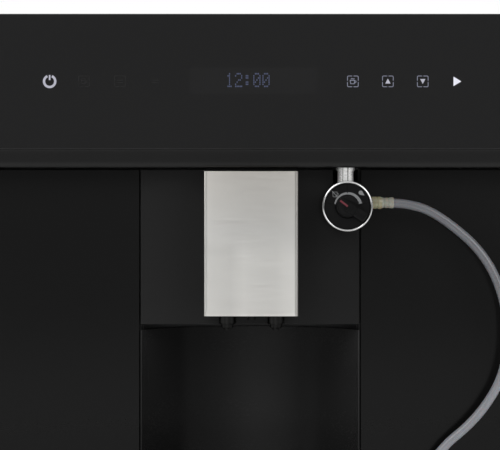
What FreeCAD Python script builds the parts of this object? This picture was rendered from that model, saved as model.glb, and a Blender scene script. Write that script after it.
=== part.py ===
import FreeCAD
import Part
import math
import os
import re
import Sketcher

# Built-in coffee machine that slides out of a cabinet niche on rails.
# Millimetres. +X is to the right, +Y to the back, +Z up. The origin is the centre of the four
# shelf screws on the underside of the base tray, so z = 0 is the shelf of the niche.

SIZES = {
    # front: a glass control panel over three lower panels
    "front_w": 595,
    "front_h": 455,
    "front_lift": 2,
    "glass_reach": 198,
    "glass_t": 4,
    "glass_edge": 0.6,
    "control_h": 123,
    "trim_h": 14.6,
    "trim_wall": 2.6,
    "trim_radius": 3,
    "trim_facet": 6,
    "trim_relief": 1.1,
    "housing_wall": 2.5,
    "panel_setback": 18,
    "panel_t": 12,
    "panel_skin": 2.5,
    "panel_edge": 0.7,
    "seam": 1,
    "frame_t": 5,
    "column_half": 88.5,
    "column_h": 125.3,
    "display_x": 3,
    "display_rise": 54.8,
    "display_w": 103,
    "display_h": 21.4,
    "display_t": 9,
    "board_t": 1.6,
    # body behind the front
    "body_w": 556,
    "body_back": 200,
    "body_drop": 12,
    "sheet": 1.5,
    "pan_t": 2,
    "pan_low": 8,
    "pan_shelf_w": 20.5,
    "pan_h": 34,
    "wall_in": 88.5,
    "wall_t": 2,
    "motor_l": 32,
    "deck_t": 3,
    "vent_w": 60,
    "vent_h": 4,
    "vent_pitch": 12,
    "vent_count": 9,
    # base and rails
    "base_front": 150,
    "base_back": 186,
    "base_t": 2,
    "shelf_x": 440,
    "shelf_y": 260,
    "shelf_hole_r": 2.25,
    "rail_gap": 2,
    "rail_w": 14,
    "rail_h": 36,
    "rail_t": 2,
    "rail_clear": 0.3,
    "rail_neck": 16,
    "inner_rail_back": 180,
    # coffee spout
    "spout_x": 1,
    "cover_w": 74.8,
    "cover_h": 114.9,
    "cover_drop": 2.4,
    "cover_reach": 34,
    "cover_t": 1,
    "cover_bend": 1.6,
    "cover_gap": 1,
    "spout_wall": 2.5,
    "spout_tuck": 1,
    "channel_rise": 17.3,
    "tongue_drop": 7,
    "tongue_h": 40,
    "rod_r": 3,
    "rod_pitch": 48,
    "rod_back": 22,
    "rod_clear": 0.06,
    "guide_w": 90,
    "guide_d": 22,
    "guide_rise": 8.3,
    "guide_wall": 4,
    "nozzle_pitch": 38.8,
    "nozzle_back": 15,
    "nozzle_r": 5.6,
    "nozzle_l": 7.3,
    "nozzle_taper": 4.7,
    "nozzle_tip_r": 3.2,
    "nozzle_bore": 2.2,
    "nozzle_flange": 1.5,
    "outlet_r": 3.5,
    "outlet_l": 3.7,
    # cup niche and drip drawer
    "niche_depth": 64,
    "niche_lip": 1,
    "liner_t": 2.5,
    "liner_gap": 4.8,
    "liner_foot": 57,
    "roof_back": 100,
    "roof_skirt": 12,
    "skirt_t": 2,
    "skirt_gap": 1,
    "tray_reach": 52,
    "tray_half": 87.5,
    "tray_wall": 3,
    "tray_low": 4,
    "tray_corner": 9,
    "basin_wall": 2,
    "basin_back": 112,
    "slide_gap": 0.3,
    "grid_t": 3,
    "grid_clear": 1,
    "grid_margin": 4,
    "slot_w": 4,
    "slot_pitch": 8,
    "slot_count": 11,
    "grid_slot_reach": 66,
    "grounds_half": 80,
    "grounds_front": 106,
    "grounds_back": 20,
    "grounds_top": 140,
    "float_x": 62,
    "float_y": -204,
    "float_r": 7,
    "float_h": 12,
    # milk frother
    "frother_x": 77.3,
    "frother_drop": 31.2,
    "frother_r": 20.2,
    "frother_reach": 34,
    "frother_gap": 1,
    "body_r": 19.4,
    "body_d": 25,
    "ring_w": 2.4,
    "face_in": 1.6,
    "hub_r": 8.7,
    "hub_d": 3.2,
    "lever_w": 5.2,
    "lever_angle": -37.5,
    "spindle_r": 3,
    "spindle_clear": 0.05,
    "port_depth": 5,
    "tube_x": 76.8,
    "tube_r": 6.4,
    "tube_bore": 3,
    "tube_setoff": 8,
    "tube_depth": 5.8,
    "tube_clear": 0.4,
    "collar_r": 7.6,
    "collar_h": 2.6,
    "recess_w": 21.4,
    "recess_h": 36,
    "steam_r": 4,
    "steam_rise": 11.4,
    # hose, its connector and its park socket
    "hose_d": 7.3,
    "hose_y": -194,
    "hose_rise": 3,
    "hose_setoff": 10.3,
    "connector_r": 4.9,
    "connector_neck": 4.15,
    "connector_l": 9,
    "connector_neck_l": 9.5,
    "hose_clear": 0.1,
    "park_x": 140,
    "park_stop": 58,
    "park_d": 14,
    "park_wall": 2.6,
    "park_plate": 26,
    # water tank drawer
    "tank_bay_gap": 15.5,
    "runner_w": 8,
    "runner_rise": 8,
    "tank_side": 6,
    "valve_clear": 0.4,
    "carrier_head": 50,
    "runner_front": 158,
    "runner_back": 90,
    "groove_z": 50,
    "groove_h": 6,
    "groove_d": 4,
    "groove_clear": 0.3,
    "carrier_back": 66,
    "carrier_floor": 3,
    "carrier_wall": 22,
    "carrier_rim": 2.5,
    "tank_front": 140,
    "tank_back": 56,
    "tank_h": 160,
    "tank_wall": 2.5,
    "tank_seat": 0.3,
    "tank_valve_r": 9,
    "tank_valve_y": 32,
    "tank_valve_drop": 7,
    "lid_t": 3,
    "flap_margin": 14,
    "flap_l": 60,
    "flap_pin": 1.5,
    # beans and grinder
    "hopper_x": -12,
    "hopper_w": 146,
    "hopper_y": -62,
    "hopper_d": 130,
    "hopper_wall": 2.5,
    "hopper_h": 71.5,
    "funnel_h": 37,
    "throat_half": 20,
    "grinder_x": 0,
    "grinder_y": -80,
    "grinder_r": 36,
    "grinder_h": 73,
    "grinder_wall": 4,
    "grinder_leg_r": 3,
    "burr_r": 27,
    "burr_rise": 22,
    "burr_h": 15,
    "burr_seat": 8,
    "shaft_r": 4,
    "press_gap": 0.05,
    "burr_lip": 8,
    "burr_gap": 1,
    "burr_mouth": 14,
    "ring_h": 12,
    "lid_corner": 5,
    "keys_in": 62,
    "keys_out": 185,
    "gear_drop": 13,
    "gear_h": 8,
    "gear_module": 1.5,
    "gear_teeth": 40,
    "pinion_teeth": 10,
    "motor_r": 22,
    "motor_gap": 2,
    "motor_shaft_r": 2.5,
    "bean_lid_t": 2.5,
    "bean_lid_gap": 0.4,
    "bean_lid_lap": 4,
    "lid_pin_half": 60,
    "knob_x": -160,
    "knob_y": -60,
    "knob_r": 14,
    "knob_h": 4,
    # brewing group
    "brew_y": 85,
    "chamber_r": 28,
    "chamber_bore": 22,
    "chamber_rise": 52,
    "chamber_h": 60,
    "piston_clear": 0.1,
    "piston_gap": 35,
    "screw_y": 116,
    "screw_r": 5,
    "group_half": 45,
    "group_base": 60,
    "group_cap": 143.5,
    "group_beam": 8,
    "screw_end": 3.3,
    "group_back": 130,
    # boilers, pump and electrics
    "boiler_x": 140,
    "boiler_r": 32,
    "boiler_low": 60,
    "boiler_h": 90,
    "plug_h": 12,
    "plug_r": 7,
    "coffee_boiler_y": -90,
    "steam_boiler_y": 10,
    "pump_x": 215,
    "pump_z": 34,
    "pump_r": 18,
    "pump_front": 120,
    "pump_l": 90,
    "board_front": 60,
    "board_back": 120,
    "board_rise": 12,
    "board_h": 140,
    "inlet_x": 215,
    "inlet_z": 110,
    "inlet_w": 27,
    "inlet_h": 20,
    "rocker_pitch": 47,
    "rocker_w": 12,
    "rocker_h": 24,
    "pipe_r": 3,
    "pipe_clear": 1.5,
    "elbow_swell": 1.5,
    "brew_port_rise": 25,
    "brew_port": 40,
    "steam_pipe_y": -134,
}

# Places that follow from the sizes above.
PLACES = {
    "front_top": "front_lift + front_h",
    "control_low": "front_top - control_h",
    "glass_low": "control_low + trim_h",
    "glass_y": "-glass_reach",
    "glass_back": "glass_y + glass_t",
    "panel_y": "glass_y + panel_setback",
    "frame_y": "panel_y + panel_t",
    "cabinet_y": "frame_y + frame_t",
    "panel_top": "control_low - seam",
    "side_in": "column_half + seam",
    "trim_y": "glass_y + trim_relief",
    "display_z": "glass_low + display_rise",
    "body_half": "body_w / 2",
    "body_top": "front_top - body_drop",
    "cover_in": "body_half - sheet",
    "rear_in": "body_back - sheet",
    "roof_in": "body_top - sheet",
    "pan_half": "cover_in - pan_shelf_w",
    "pan_floor": "pan_low + pan_t",
    "pan_shelf": "pan_low + pan_h",
    "wall_out": "wall_in + wall_t",
    "rail_in": "pan_half + rail_gap",
    "rail_out": "rail_in + rail_w",
    "rail_top": "base_t + rail_h",
    "column_low": "panel_top - column_h",
    "cover_y": "panel_y - cover_reach",
    "cover_half": "cover_w / 2",
    "cover_top": "panel_top - cover_drop",
    "cover_low": "cover_top - cover_h",
    "channel_low": "column_low + channel_rise",
    "tongue_low": "cover_top - cover_t - tongue_drop - tongue_h + 0.4",
    "guide_low": "column_low + guide_rise",
    "guide_y": "frame_y + guide_d",
    "rod_y": "panel_y + rod_back",
    "nozzle_y": "panel_y - nozzle_back",
    "nozzle_z": "cover_low - nozzle_l",
    "nozzle_tip": "nozzle_z - nozzle_taper",
    "nozzle_seat": "cover_low + spout_tuck + spout_wall",
    "outlet_low": "cover_low - outlet_l",
    "liner_half": "column_half - niche_lip",
    "liner_r": "((liner_half^2 + niche_depth^2) / (2 * niche_depth))",
    "liner_y": "panel_y + niche_depth - liner_r",
    "liner_top": "column_low - liner_gap",
    "tray_y": "panel_y - tray_reach",
    "tray_floor": "pan_floor + slide_gap",
    "grid_top": "liner_foot + grid_t",
    "frother_z": "control_low - frother_drop",
    "recess_left": "column_half - recess_w",
    "recess_low": "panel_top - recess_h",
    "tube_y": "panel_y - tube_setoff",
    "tube_low": "frother_z + tube_depth",
    "steam_z": "glass_low + steam_rise",
    "face_y": "panel_y - frother_reach",
    "head_back": "panel_y - frother_gap",
    "head_front": "head_back - body_d",
    "head_side": "frother_x + body_r",
    "hose_z": "frother_z + hose_rise",
    "hose_start": "head_side + hose_setoff",
    "connector_step": "head_side + connector_l",
    "connector_end": "connector_step + connector_neck_l",
    "park_top": "park_stop + park_d",
    "runner_left": "pan_half - pan_t",
    "runner_right": "wall_out + tank_bay_gap",
    "runner_top": "groove_z + groove_h + runner_rise",
    "carrier_low": "groove_z + groove_clear",
    "carrier_top": "carrier_low + carrier_floor",
    "tank_low": "carrier_top + tank_seat",
    "tank_top": "tank_low + tank_h",
    "tank_left": "-runner_left + runner_w + tank_side",
    "tank_right": "-runner_right - runner_w - tank_side",
    "tank_x": "(tank_left + tank_right) / 2",
    "socket_top": "tank_low - tank_valve_drop - valve_clear",
    "hopper_top": "roof_in",
    "hopper_low": "roof_in - hopper_h",
    "throat_low": "hopper_low - funnel_h",
    "grinder_low": "throat_low - grinder_h",
    "burr_low": "grinder_low + burr_rise",
    "gear_low": "grinder_low - gear_drop",
    "motor_top": "gear_low - motor_gap",
    "motor_x": "grinder_x + gear_module * (gear_teeth + pinion_teeth) / 2",
    "deck_top": "motor_top - motor_l",
    "deck_z": "deck_top - deck_t",
    "group_top": "roof_in - group_cap",
    "screw_low": "group_base + screw_end",
    "screw_high": "group_top - screw_end",
    "chamber_low": "group_base + group_beam + chamber_rise",
    "chamber_top": "chamber_low + chamber_h",
    "piston_low": "chamber_top + piston_gap",
    "brew_pipe_z": "piston_low + brew_port_rise",
    "board_low": "brew_pipe_z + board_rise",
    "board_high": "board_low + board_h",
    "boiler_top": "boiler_low + boiler_h",
    "plug_top": "boiler_top + plug_h",
    "pump_head": "-pump_front",
    "rocker_x": "inlet_x - rocker_pitch",
    "pump_tail": "pump_head + pump_l",
}

PREFIX = "dims."
AXIS = {"x": FreeCAD.Vector(1, 0, 0), "y": FreeCAD.Vector(0, 1, 0), "z": FreeCAD.Vector(0, 0, 1)}

doc = FreeCAD.newDocument("built_in_coffee_machine")
sheet = doc.addObject("Spreadsheet::Sheet", "dims")
nodes = []


def fill_sheet():
    for row, (alias, value) in enumerate(SIZES.items(), 1):
        sheet.set(f"A{row}", alias)
        sheet.set(f"B{row}", str(value))
        sheet.setAlias(f"B{row}", alias)
    doc.recompute()


def formula(text):
    """Write a formula of size names as an expression on the sheet."""

    def swap(match):
        word = match[0]
        if word in PLACES:
            return f"({formula(PLACES[word])})"
        return PREFIX + word if word in SIZES else word

    return re.sub(r"[a-z_][a-z_0-9]*", swap, str(text))


def mm(text):
    """The present value of a formula."""
    return float(sheet.evalExpression(formula(text)))


def bind(obj, **formulas):
    for name, text in formulas.items():
        obj.setExpression(name.replace("__", "."), formula(text))
    return obj


def place(obj, x="0", y="0", z="0"):
    return bind(obj, Placement__Base__x=x, Placement__Base__y=y, Placement__Base__z=z)


def block(name, x, y, z):
    """A box between the low and high formulas of each axis."""
    box = doc.addObject("Part::Box", name)
    sides = [f"({high}) - ({low})" for low, high in (x, y, z)]
    bind(box, Length=sides[0], Width=sides[1], Height=sides[2])
    return place(box, x[0], y[0], z[0])


def turn_to(obj, axis):
    obj.Placement.Rotation = FreeCAD.Rotation(AXIS["z"], AXIS[axis])
    return obj


def start_of(axis, at, low):
    """Coordinates of a round piece that starts at low on its axis and lies at the other two."""
    spots = dict(zip([n for n in "xyz" if n != axis], at))
    spots[axis] = low
    return spots


def rod(name, axis, at, radius, span):
    """A cylinder along an axis; at holds its other two coordinates, span its two ends."""
    low, high = span
    cylinder = turn_to(doc.addObject("Part::Cylinder", name), axis)
    bind(cylinder, Radius=radius, Height=f"({high}) - ({low})")
    return place(cylinder, **start_of(axis, at, low))


def cone(name, axis, at, radii, span):
    low, high = span
    piece = turn_to(doc.addObject("Part::Cone", name), axis)
    bind(piece, Radius1=radii[0], Radius2=radii[1], Height=f"({high}) - ({low})")
    return place(piece, **start_of(axis, at, low))


def join(name, *pieces):
    joined = doc.addObject("Part::MultiFuse", name)
    joined.Shapes = list(pieces)
    joined.Refine = True
    return joined


def group(name, *pieces):
    """Separate solids of one sub-part."""
    together = doc.addObject("Part::Compound", name)
    together.Links = list(pieces)
    return together


def cut(name, base, *tools):
    result = doc.addObject("Part::Cut", name)
    result.Base = base
    result.Tool = tools[0] if len(tools) == 1 else group(name + "_tools", *tools)
    return result


def common(name, one, other):
    result = doc.addObject("Part::Common", name)
    result.Base = one
    result.Tool = other
    return result


def along(edge, axis):
    """Whether a straight edge runs along an axis."""
    if edge.Curve.TypeId != "Part::GeomLine":
        return False
    return abs(abs(edge.Curve.Direction.dot(AXIS[axis])) - 1) < 1e-6


def round_edges(name, base, radius, choose):
    """Round the straight edges that choose accepts, given each edge and its middle."""
    doc.recompute()
    size = mm(radius)
    rounded = doc.addObject("Part::Fillet", name)
    rounded.Base = base
    rounded.Edges = [
        (number, size, size)
        for number, edge in enumerate(base.Shape.Edges, 1)
        if choose(edge, edge.CenterOfMass)
    ]
    return rounded


def sketch_on(body, role, name, outline):
    """A closed outline whose corners are bound to formulas, on one of the body's own planes."""
    sketch = body.newObject("Sketcher::SketchObject", name)
    plane = next(f for f in body.Origin.OriginFeatures if f.Role == role)
    sketch.AttachmentSupport = (plane, "")
    sketch.MapMode = "FlatFace"
    corners = [FreeCAD.Vector(mm(u), mm(v), 0) for u, v in outline]
    count = len(corners)
    for index in range(count):
        sketch.addGeometry(Part.LineSegment(corners[index], corners[(index + 1) % count]))
    for index in range(count):
        sketch.addConstraint(Sketcher.Constraint("Coincident", index, 2, (index + 1) % count, 1))
    for index, corner in enumerate(outline):
        for kind, text in zip(("DistanceX", "DistanceY"), corner):
            bound = sketch.addConstraint(Sketcher.Constraint(kind, -1, 1, index, 1, mm(text)))
            sketch.setExpression(f"Constraints[{bound}]", formula(text))
    return sketch


def padded(name, role, outline, low, high):
    """A body with one pad of an outline, between two places along the plane's axis."""
    body = doc.addObject("PartDesign::Body", name)
    sketch = sketch_on(body, role, name + "_outline", outline)
    offset = f"-({high})" if role == "XZ_Plane" else low
    bind(sketch, AttachmentOffset__Base__z=offset)
    pad = body.newObject("PartDesign::Pad", name + "_pad")
    pad.Profile = sketch
    return bind(pad, Length=f"({high}) - ({low})") and body


def turned(name, axis, at, outline):
    """A body turned about an axis from (radius, height) corners; at is the axis's three places."""
    body = turn_to(doc.addObject("PartDesign::Body", name), axis)
    sketch = sketch_on(body, "XZ_Plane", name + "_outline", outline)
    revolution = body.newObject("PartDesign::Revolution", name + "_turn")
    revolution.Profile = sketch
    revolution.ReferenceAxis = (sketch, ["V_Axis"])
    revolution.Angle = 360
    return place(body, *at)


def mirrored(name, source):
    """The same piece on the other side of the middle plane x = 0."""
    twin = doc.addObject("Part::Mirroring", name)
    twin.Source = source
    twin.Normal = AXIS["x"]
    return twin


def both(half):
    return (f"-({half})", half)


def node(label, obj):
    """Name a finished sub-part, so that it is checked and written to its own file."""
    obj.Label = label
    nodes.append(obj)
    return obj


# ---------------------------------------------------------------- base and rails


def make_base_tray():
    floor = block("tray_floor_sheet", both("rail_out"), ("-base_front", "base_back"), ("0", "base_t"))
    lip = block(
        "tray_rear_lip",
        both("pan_half - 6"),
        ("base_back - base_t", "base_back"),
        ("base_t", "pan_low - 2"),
    )
    holes = [
        rod(f"shelf_hole_{i}", "z", (x, y), "shelf_hole_r", ("-1", "base_t + 1"))
        for i, (x, y) in enumerate(
            (sx + "shelf_x/2", sy + "shelf_y/2") for sx in ("", "-") for sy in ("", "-")
        )
    ]
    node("base_tray", cut("base_tray_body", join("base_tray_sheet", floor, lip), *holes))


def make_rails():
    outer = padded(
        "outer_rail",
        "XZ_Plane",
        [
            ("rail_in", "base_t"),
            ("rail_out", "base_t"),
            ("rail_out", "rail_top"),
            ("rail_in", "rail_top"),
            ("rail_in", "rail_top - rail_t"),
            ("rail_out - rail_t", "rail_top - rail_t"),
            ("rail_out - rail_t", "base_t + rail_t"),
            ("rail_in", "base_t + rail_t"),
        ],
        "-base_front",
        "base_back",
    )
    node("outer_rails", group("outer_rail_pair", outer, mirrored("outer_rail_left", outer)))
    low = "base_t + rail_t + rail_clear"
    high = "rail_top - rail_t - rail_clear"
    middle = "base_t + rail_h/2"
    inner = padded(
        "inner_rail",
        "XZ_Plane",
        [
            ("pan_half", middle + " - rail_neck/2"),
            ("rail_in + 2", middle + " - rail_neck/2"),
            ("rail_in + 2", low),
            ("rail_out - rail_t - rail_clear", low),
            ("rail_out - rail_t - rail_clear", high),
            ("rail_in + 2", high),
            ("rail_in + 2", middle + " + rail_neck/2"),
            ("pan_half", middle + " + rail_neck/2"),
        ],
        "-base_front - 5",
        "inner_rail_back",
    )
    node("inner_rails", group("inner_rail_pair", inner, mirrored("inner_rail_left", inner)))


# ---------------------------------------------------------------- body


def make_chassis():
    pan = padded(
        "chassis_profile",
        "XZ_Plane",
        [
            ("-cover_in", "pan_shelf + pan_t"),
            ("-cover_in", "pan_shelf"),
            ("-pan_half", "pan_shelf"),
            ("-pan_half", "pan_low"),
            ("pan_half", "pan_low"),
            ("pan_half", "pan_shelf"),
            ("cover_in", "pan_shelf"),
            ("cover_in", "pan_shelf + pan_t"),
            ("pan_half - pan_t", "pan_shelf + pan_t"),
            ("pan_half - pan_t", "pan_floor"),
            ("-pan_half + pan_t", "pan_floor"),
            ("-pan_half + pan_t", "pan_shelf + pan_t"),
        ],
        "cabinet_y",
        "rear_in",
    )
    node("chassis_pan", pan)
    run = ("cabinet_y", "rear_in")
    wall = block("inner_wall", ("wall_in", "wall_out"), run, ("pan_floor", "roof_in"))
    deck = block("inner_deck", both("wall_in"), ("-140", "group_back - 100"), ("deck_z", "deck_top"))
    walls = join("inner_walls", wall, mirrored("inner_wall_left", wall), deck)
    holes = [
        rod(f"pipe_hole_{i}", "x", at, "pipe_r + pipe_clear", both("wall_out + 1"))
        for i, at in enumerate((SUCTION_AT, BREW_AT, STEAM_AT))
    ]
    node("inner_chassis", cut("inner_chassis_body", walls, *holes))


SUCTION_AT = ("tank_valve_y", "pump_z")
BREW_AT = ("brew_y", "brew_pipe_z")
STEAM_AT = ("steam_pipe_y", "steam_z")


def vent_slots(name, axis, centre, low, through):
    """A column of slots cut through a sheet; axis is the sheet's normal."""
    slots = []
    for index in range(int(mm("vent_count"))):
        base = f"{low} + {index} * vent_pitch"
        across = (f"{centre} - vent_w/2", f"{centre} + vent_w/2")
        up = (base, f"{base} + vent_h")
        x, y, z = (through, across, up) if axis == "x" else (across, through, up)
        slots.append(block(f"{name}_{index}", x, y, z))
    return slots


def make_covers():
    side = block(
        "side_cover", ("cover_in", "body_half"), ("cabinet_y", "body_back"), ("pan_shelf", "roof_in")
    )
    slots = vent_slots("side_vent", "x", "90", "280", ("cover_in - 1", "body_half + 1"))
    right = cut("side_cover_right", side, *slots)
    node("side_covers", group("side_cover_pair", right, mirrored("side_cover_left", right)))
    rear = block("rear_sheet", both("cover_in"), ("rear_in", "body_back"), ("pan_low", "roof_in"))
    through = ("rear_in - 1", "body_back + 1")
    openings = vent_slots("rear_vent_left", "y", "-150", "250", through)
    openings += vent_slots("rear_vent_right", "y", "150", "250", through)
    for name, x, w, h in (
        ("inlet_opening", "inlet_x", "inlet_w", "inlet_h"),
        ("rocker_opening", "rocker_x", "rocker_w + 4", "rocker_h + 4"),
    ):
        across = (f"{x} - ({w})/2", f"{x} + ({w})/2")
        up = (f"inlet_z - ({h})/2", f"inlet_z + ({h})/2")
        openings.append(block(name, across, through, up))
    notch = block("rail_notch", ("pan_half", "cover_in + 1"), through, ("pan_low - 1", "pan_shelf"))
    node("rear_cover", cut("rear_cover_body", rear, *openings, notch, mirrored("rail_notch_left", notch)))
    top = block("top_sheet", both("body_half"), ("cabinet_y", "body_back"), ("roof_in", "body_top"))
    lap = "bean_lid_lap"
    hopper_hole = block(
        "hopper_opening",
        (f"hopper_x - hopper_w/2 + {lap}", f"hopper_x + hopper_w/2 - {lap}"),
        (f"hopper_y - hopper_d/2 + {lap}", f"hopper_y + hopper_d/2 - {lap}"),
        ("roof_in - 1", "body_top + 1"),
    )
    knob_hole = rod("knob_hole", "z", ("knob_x", "knob_y"), "spindle_r + 0.05", ("roof_in - 1", "body_top + 1"))
    ears = [
        cut(
            f"lid_ear_{i}",
            block(f"lid_ear_block_{i}", (x, f"{x} + 4"), (HINGE_Y + " - 2.2", HINGE_Y + " + 2.2"), EAR_Z),
            rod(f"lid_ear_bore_{i}", "x", (HINGE_Y, HINGE_Z), "flap_pin + 0.06", (f"{x} - 1", f"{x} + 5")),
        )
        for i, x in enumerate(("hopper_x - lid_pin_half", "hopper_x + lid_pin_half - 4"))
    ]
    plate = cut("top_plate", top, hopper_hole, knob_hole)
    node("top_cover", join("top_cover_body", plate, *ears))


HINGE_Y = "(hopper_y + hopper_d/2 + 3)"
HINGE_Z = "(body_top + 2.1)"
EAR_Z = ("body_top", "body_top + 4.2")


# ---------------------------------------------------------------- front


def make_front_frame():
    run = ("frame_y", "cabinet_y")
    through = ("frame_y - 1", "cabinet_y + 1")
    plate = block("frame_plate", both("front_w/2"), run, ("front_lift", "front_top"))
    tank_window = block(
        "tank_window", ("-runner_left - 8", "-runner_right + 8"), through, ("pan_shelf + 4", "panel_top - 3")
    )
    column_window = block("column_window", both("wall_in - 0.5"), through, ("pan_low", "panel_top"))
    wire_window = block("wire_window", both("200"), through, ("glass_low + 4", "roof_in - 4"))
    node("front_frame", cut("front_frame_body", plate, tank_window, column_window, wire_window))


def make_control_panel():
    wide = both("front_w/2")
    glass = block("glass_sheet", wide, ("glass_y", "glass_back"), ("glass_low", "front_top"))
    front = mm("glass_y")
    edge = round_edges(
        "glass_polished", glass, "glass_edge", lambda e, c: along(e, "x") and abs(c.y - front) < 0.01
    )
    node("control_glass", edge)
    shell = block("housing_block", wide, ("glass_back", "frame_y"), ("glass_low", "front_top"))
    wall = "housing_wall"
    pocket = block(
        "housing_pocket",
        both(f"front_w/2 - {wall}"),
        (f"glass_back + {wall}", "frame_y + 1"),
        (f"glass_low + {wall}", f"front_top - {wall}"),
    )
    window = block("display_window", DISPLAY_X, ("glass_back - 1", "glass_back + 4"), DISPLAY_Z)
    tube_gap = rod("housing_tube_gap", "z", TUBE_AT, "steam_r + 2", ("glass_low - 1", "steam_z + steam_r + 4"))
    node("control_housing", cut("control_housing_body", shell, pocket, window, tube_gap))


DISPLAY_X = ("display_x - display_w/2", "display_x + display_w/2")
DISPLAY_Z = ("display_z - display_h/2", "display_z + display_h/2")
TUBE_AT = ("tube_x", "tube_y")


def make_trim():
    profile = padded(
        "trim_profile",
        "YZ_Plane",
        [
            ("glass_y", "glass_low"),
            ("trim_y", "glass_low - trim_facet"),
            ("trim_y", "control_low"),
            ("frame_y", "control_low"),
            ("frame_y", "glass_low"),
        ],
        "-front_w/2",
        "front_w/2",
    )
    front, low = mm("trim_y"), mm("control_low")
    rounded = round_edges(
        "trim_rounded",
        profile,
        "trim_radius",
        lambda e, c: along(e, "x") and abs(c.y - front) < 0.01 and abs(c.z - low) < 0.01,
    )
    tube_hole = rod("trim_tube_hole", "z", TUBE_AT, "tube_r + tube_clear", ("control_low - 1", "glass_low + 1"))
    pockets = [
        block(
            f"trim_pocket_{i}",
            span,
            ("trim_y + 2*trim_wall", "frame_y + 1"),
            ("control_low + trim_wall", "glass_low - trim_wall"),
        )
        for i, span in enumerate(
            (
                ("-front_w/2 + trim_wall", "tube_x - 2*tube_r"),
                ("tube_x + 2*tube_r", "front_w/2 - trim_wall"),
            )
        )
    ]
    node("lower_trim", cut("lower_trim_body", rounded, tube_hole, *pockets))


def make_control_boards():
    face = ("glass_back + 0.3", "glass_back + housing_wall")
    window = block("display_face", DISPLAY_X, face, DISPLAY_Z)
    back = block(
        "display_case",
        ("display_x - display_w/2 - 6", "display_x + display_w/2 + 6"),
        ("glass_back + housing_wall", "glass_back + housing_wall + display_t"),
        ("display_z - display_h/2 - 5", "display_z + display_h/2 + 5"),
    )
    solids = [join("display_module", window, back)]
    seat = "glass_back + housing_wall"
    for name, x in (("left_keys", ("-keys_out", "-keys_in")), ("right_keys", ("keys_in + 6", "keys_out + 3"))):
        board = block(
            f"{name}_board",
            x,
            (f"{seat} + 3", f"{seat} + 3 + board_t"),
            ("display_z - 20", "display_z + 20"),
        )
        posts = [
            rod(f"{name}_post_{i}", "y", (px, pz), "2.5", (seat, f"{seat} + 3"))
            for i, (px, pz) in enumerate(
                (f"{x[0]} + 6" if sx else f"{x[1]} - 6", f"display_z {sz} 15") for sx in (0, 1) for sz in "+-"
            )
        ]
        chip = block(
            f"{name}_chip",
            (f"{x[0]} + 40", f"{x[0]} + 54"),
            (f"{seat} + 3 + board_t", f"{seat} + 5 + board_t"),
            ("display_z - 7", "display_z + 7"),
        )
        solids.append(join(f"{name}_assembly", board, chip, *posts))
    node("control_boards", group("control_board_set", *solids))


def soft_front(name, shell):
    """Round the front edges of a lower panel a little."""
    front = mm("panel_y")
    return round_edges(name, shell, "panel_edge", lambda e, c: abs(c.y - front) < 0.01 and not along(e, "y"))


def side_panel(name):
    """The shell of a lower side panel, on the right side, open at the back."""
    outer = block(
        f"{name}_block", ("side_in", "front_w/2"), ("panel_y", "frame_y"), ("front_lift", "panel_top")
    )
    skin = "panel_skin"
    pocket = block(
        f"{name}_pocket",
        (f"side_in + {skin}", f"front_w/2 - {skin}"),
        (f"panel_y + {skin}", "frame_y + 1"),
        (f"front_lift + {skin}", f"panel_top - {skin}"),
    )
    return cut(f"{name}_shell", soft_front(f"{name}_rounded", outer), pocket)


def make_side_panels():
    shell = side_panel("right_panel")
    pad = block(
        "park_backing",
        ("park_x - park_plate/2", "park_x + park_plate/2"),
        ("panel_y + panel_skin", "frame_y"),
        ("park_stop - 12", "park_top + 2"),
    )
    node("right_panel", join("right_panel_body", shell, pad))
    left = mirrored("tank_front_shell", side_panel("left_panel"))
    gap = block(
        "tank_front_trim",
        ("-front_w/2 - 1", "-side_in + 1"),
        ("frame_y - 0.4", "frame_y + 1"),
        ("front_lift - 1", "panel_top + 1"),
    )
    node("tank_drawer_front", cut("tank_drawer_front_body", left, gap))


def make_column():
    outer = block("column_block", both("column_half"), ("panel_y", "frame_y"), ("column_low", "panel_top"))
    through = ("panel_y - 1", "frame_y + 1")
    half = "cover_half"
    channel = block(
        "spout_channel", (f"spout_x - {half}", f"spout_x + {half}"), through, ("channel_low", "panel_top + 1")
    )
    recess = block(
        "frother_recess", ("recess_left", "column_half + 1"), through, ("recess_low", "panel_top + 1")
    )
    skin = "panel_skin"
    deep = (f"panel_y + 2*{skin}", "frame_y + 1")
    high = ("column_low + panel_skin", "panel_top - panel_skin")
    pockets = [
        block("column_pocket_left", ("-column_half + 3", f"spout_x - {half} - 3"), deep, high),
        block("column_pocket_right", (f"spout_x + {half} + 3", "recess_left - 3"), deep, high),
        block(
            "column_pocket_low",
            ("recess_left - 4", "column_half - 3"),
            deep,
            ("column_low + panel_skin", "recess_low - 3"),
        ),
    ]
    rounded = soft_front("column_rounded", outer)
    node("column_panel", cut("column_panel_body", rounded, channel, recess, *pockets))


# ---------------------------------------------------------------- coffee spout


def make_spout_guide():
    half = "guide_w/2"
    across = (f"spout_x - {half}", f"spout_x + {half}")
    outer = block("guide_block", across, ("frame_y", "guide_y"), ("guide_low", "panel_top"))
    wall = "guide_wall"
    hollow = block(
        "guide_hollow",
        (f"spout_x - {half} + 3", f"spout_x + {half} - 3"),
        ("frame_y - 1", "guide_y - 3"),
        (f"guide_low + {wall}", f"panel_top - {wall}"),
    )
    bores = [
        rod(f"guide_bore_{i}", "z", (x, "rod_y"), "rod_r + 0.02", ("guide_low + 1", "panel_top - 1"))
        for i, x in enumerate(ROD_X)
    ]
    node("spout_guide_frame", cut("spout_guide_body", outer, hollow, *bores))
    rods = [
        rod(f"guide_rod_{i}", "z", (x, "rod_y"), "rod_r", ("guide_low + 1", "panel_top - 1"))
        for i, x in enumerate(ROD_X)
    ]
    node("guide_rods", group("guide_rod_pair", *rods))


ROD_X = ("spout_x - rod_pitch/2", "spout_x + rod_pitch/2")


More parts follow.
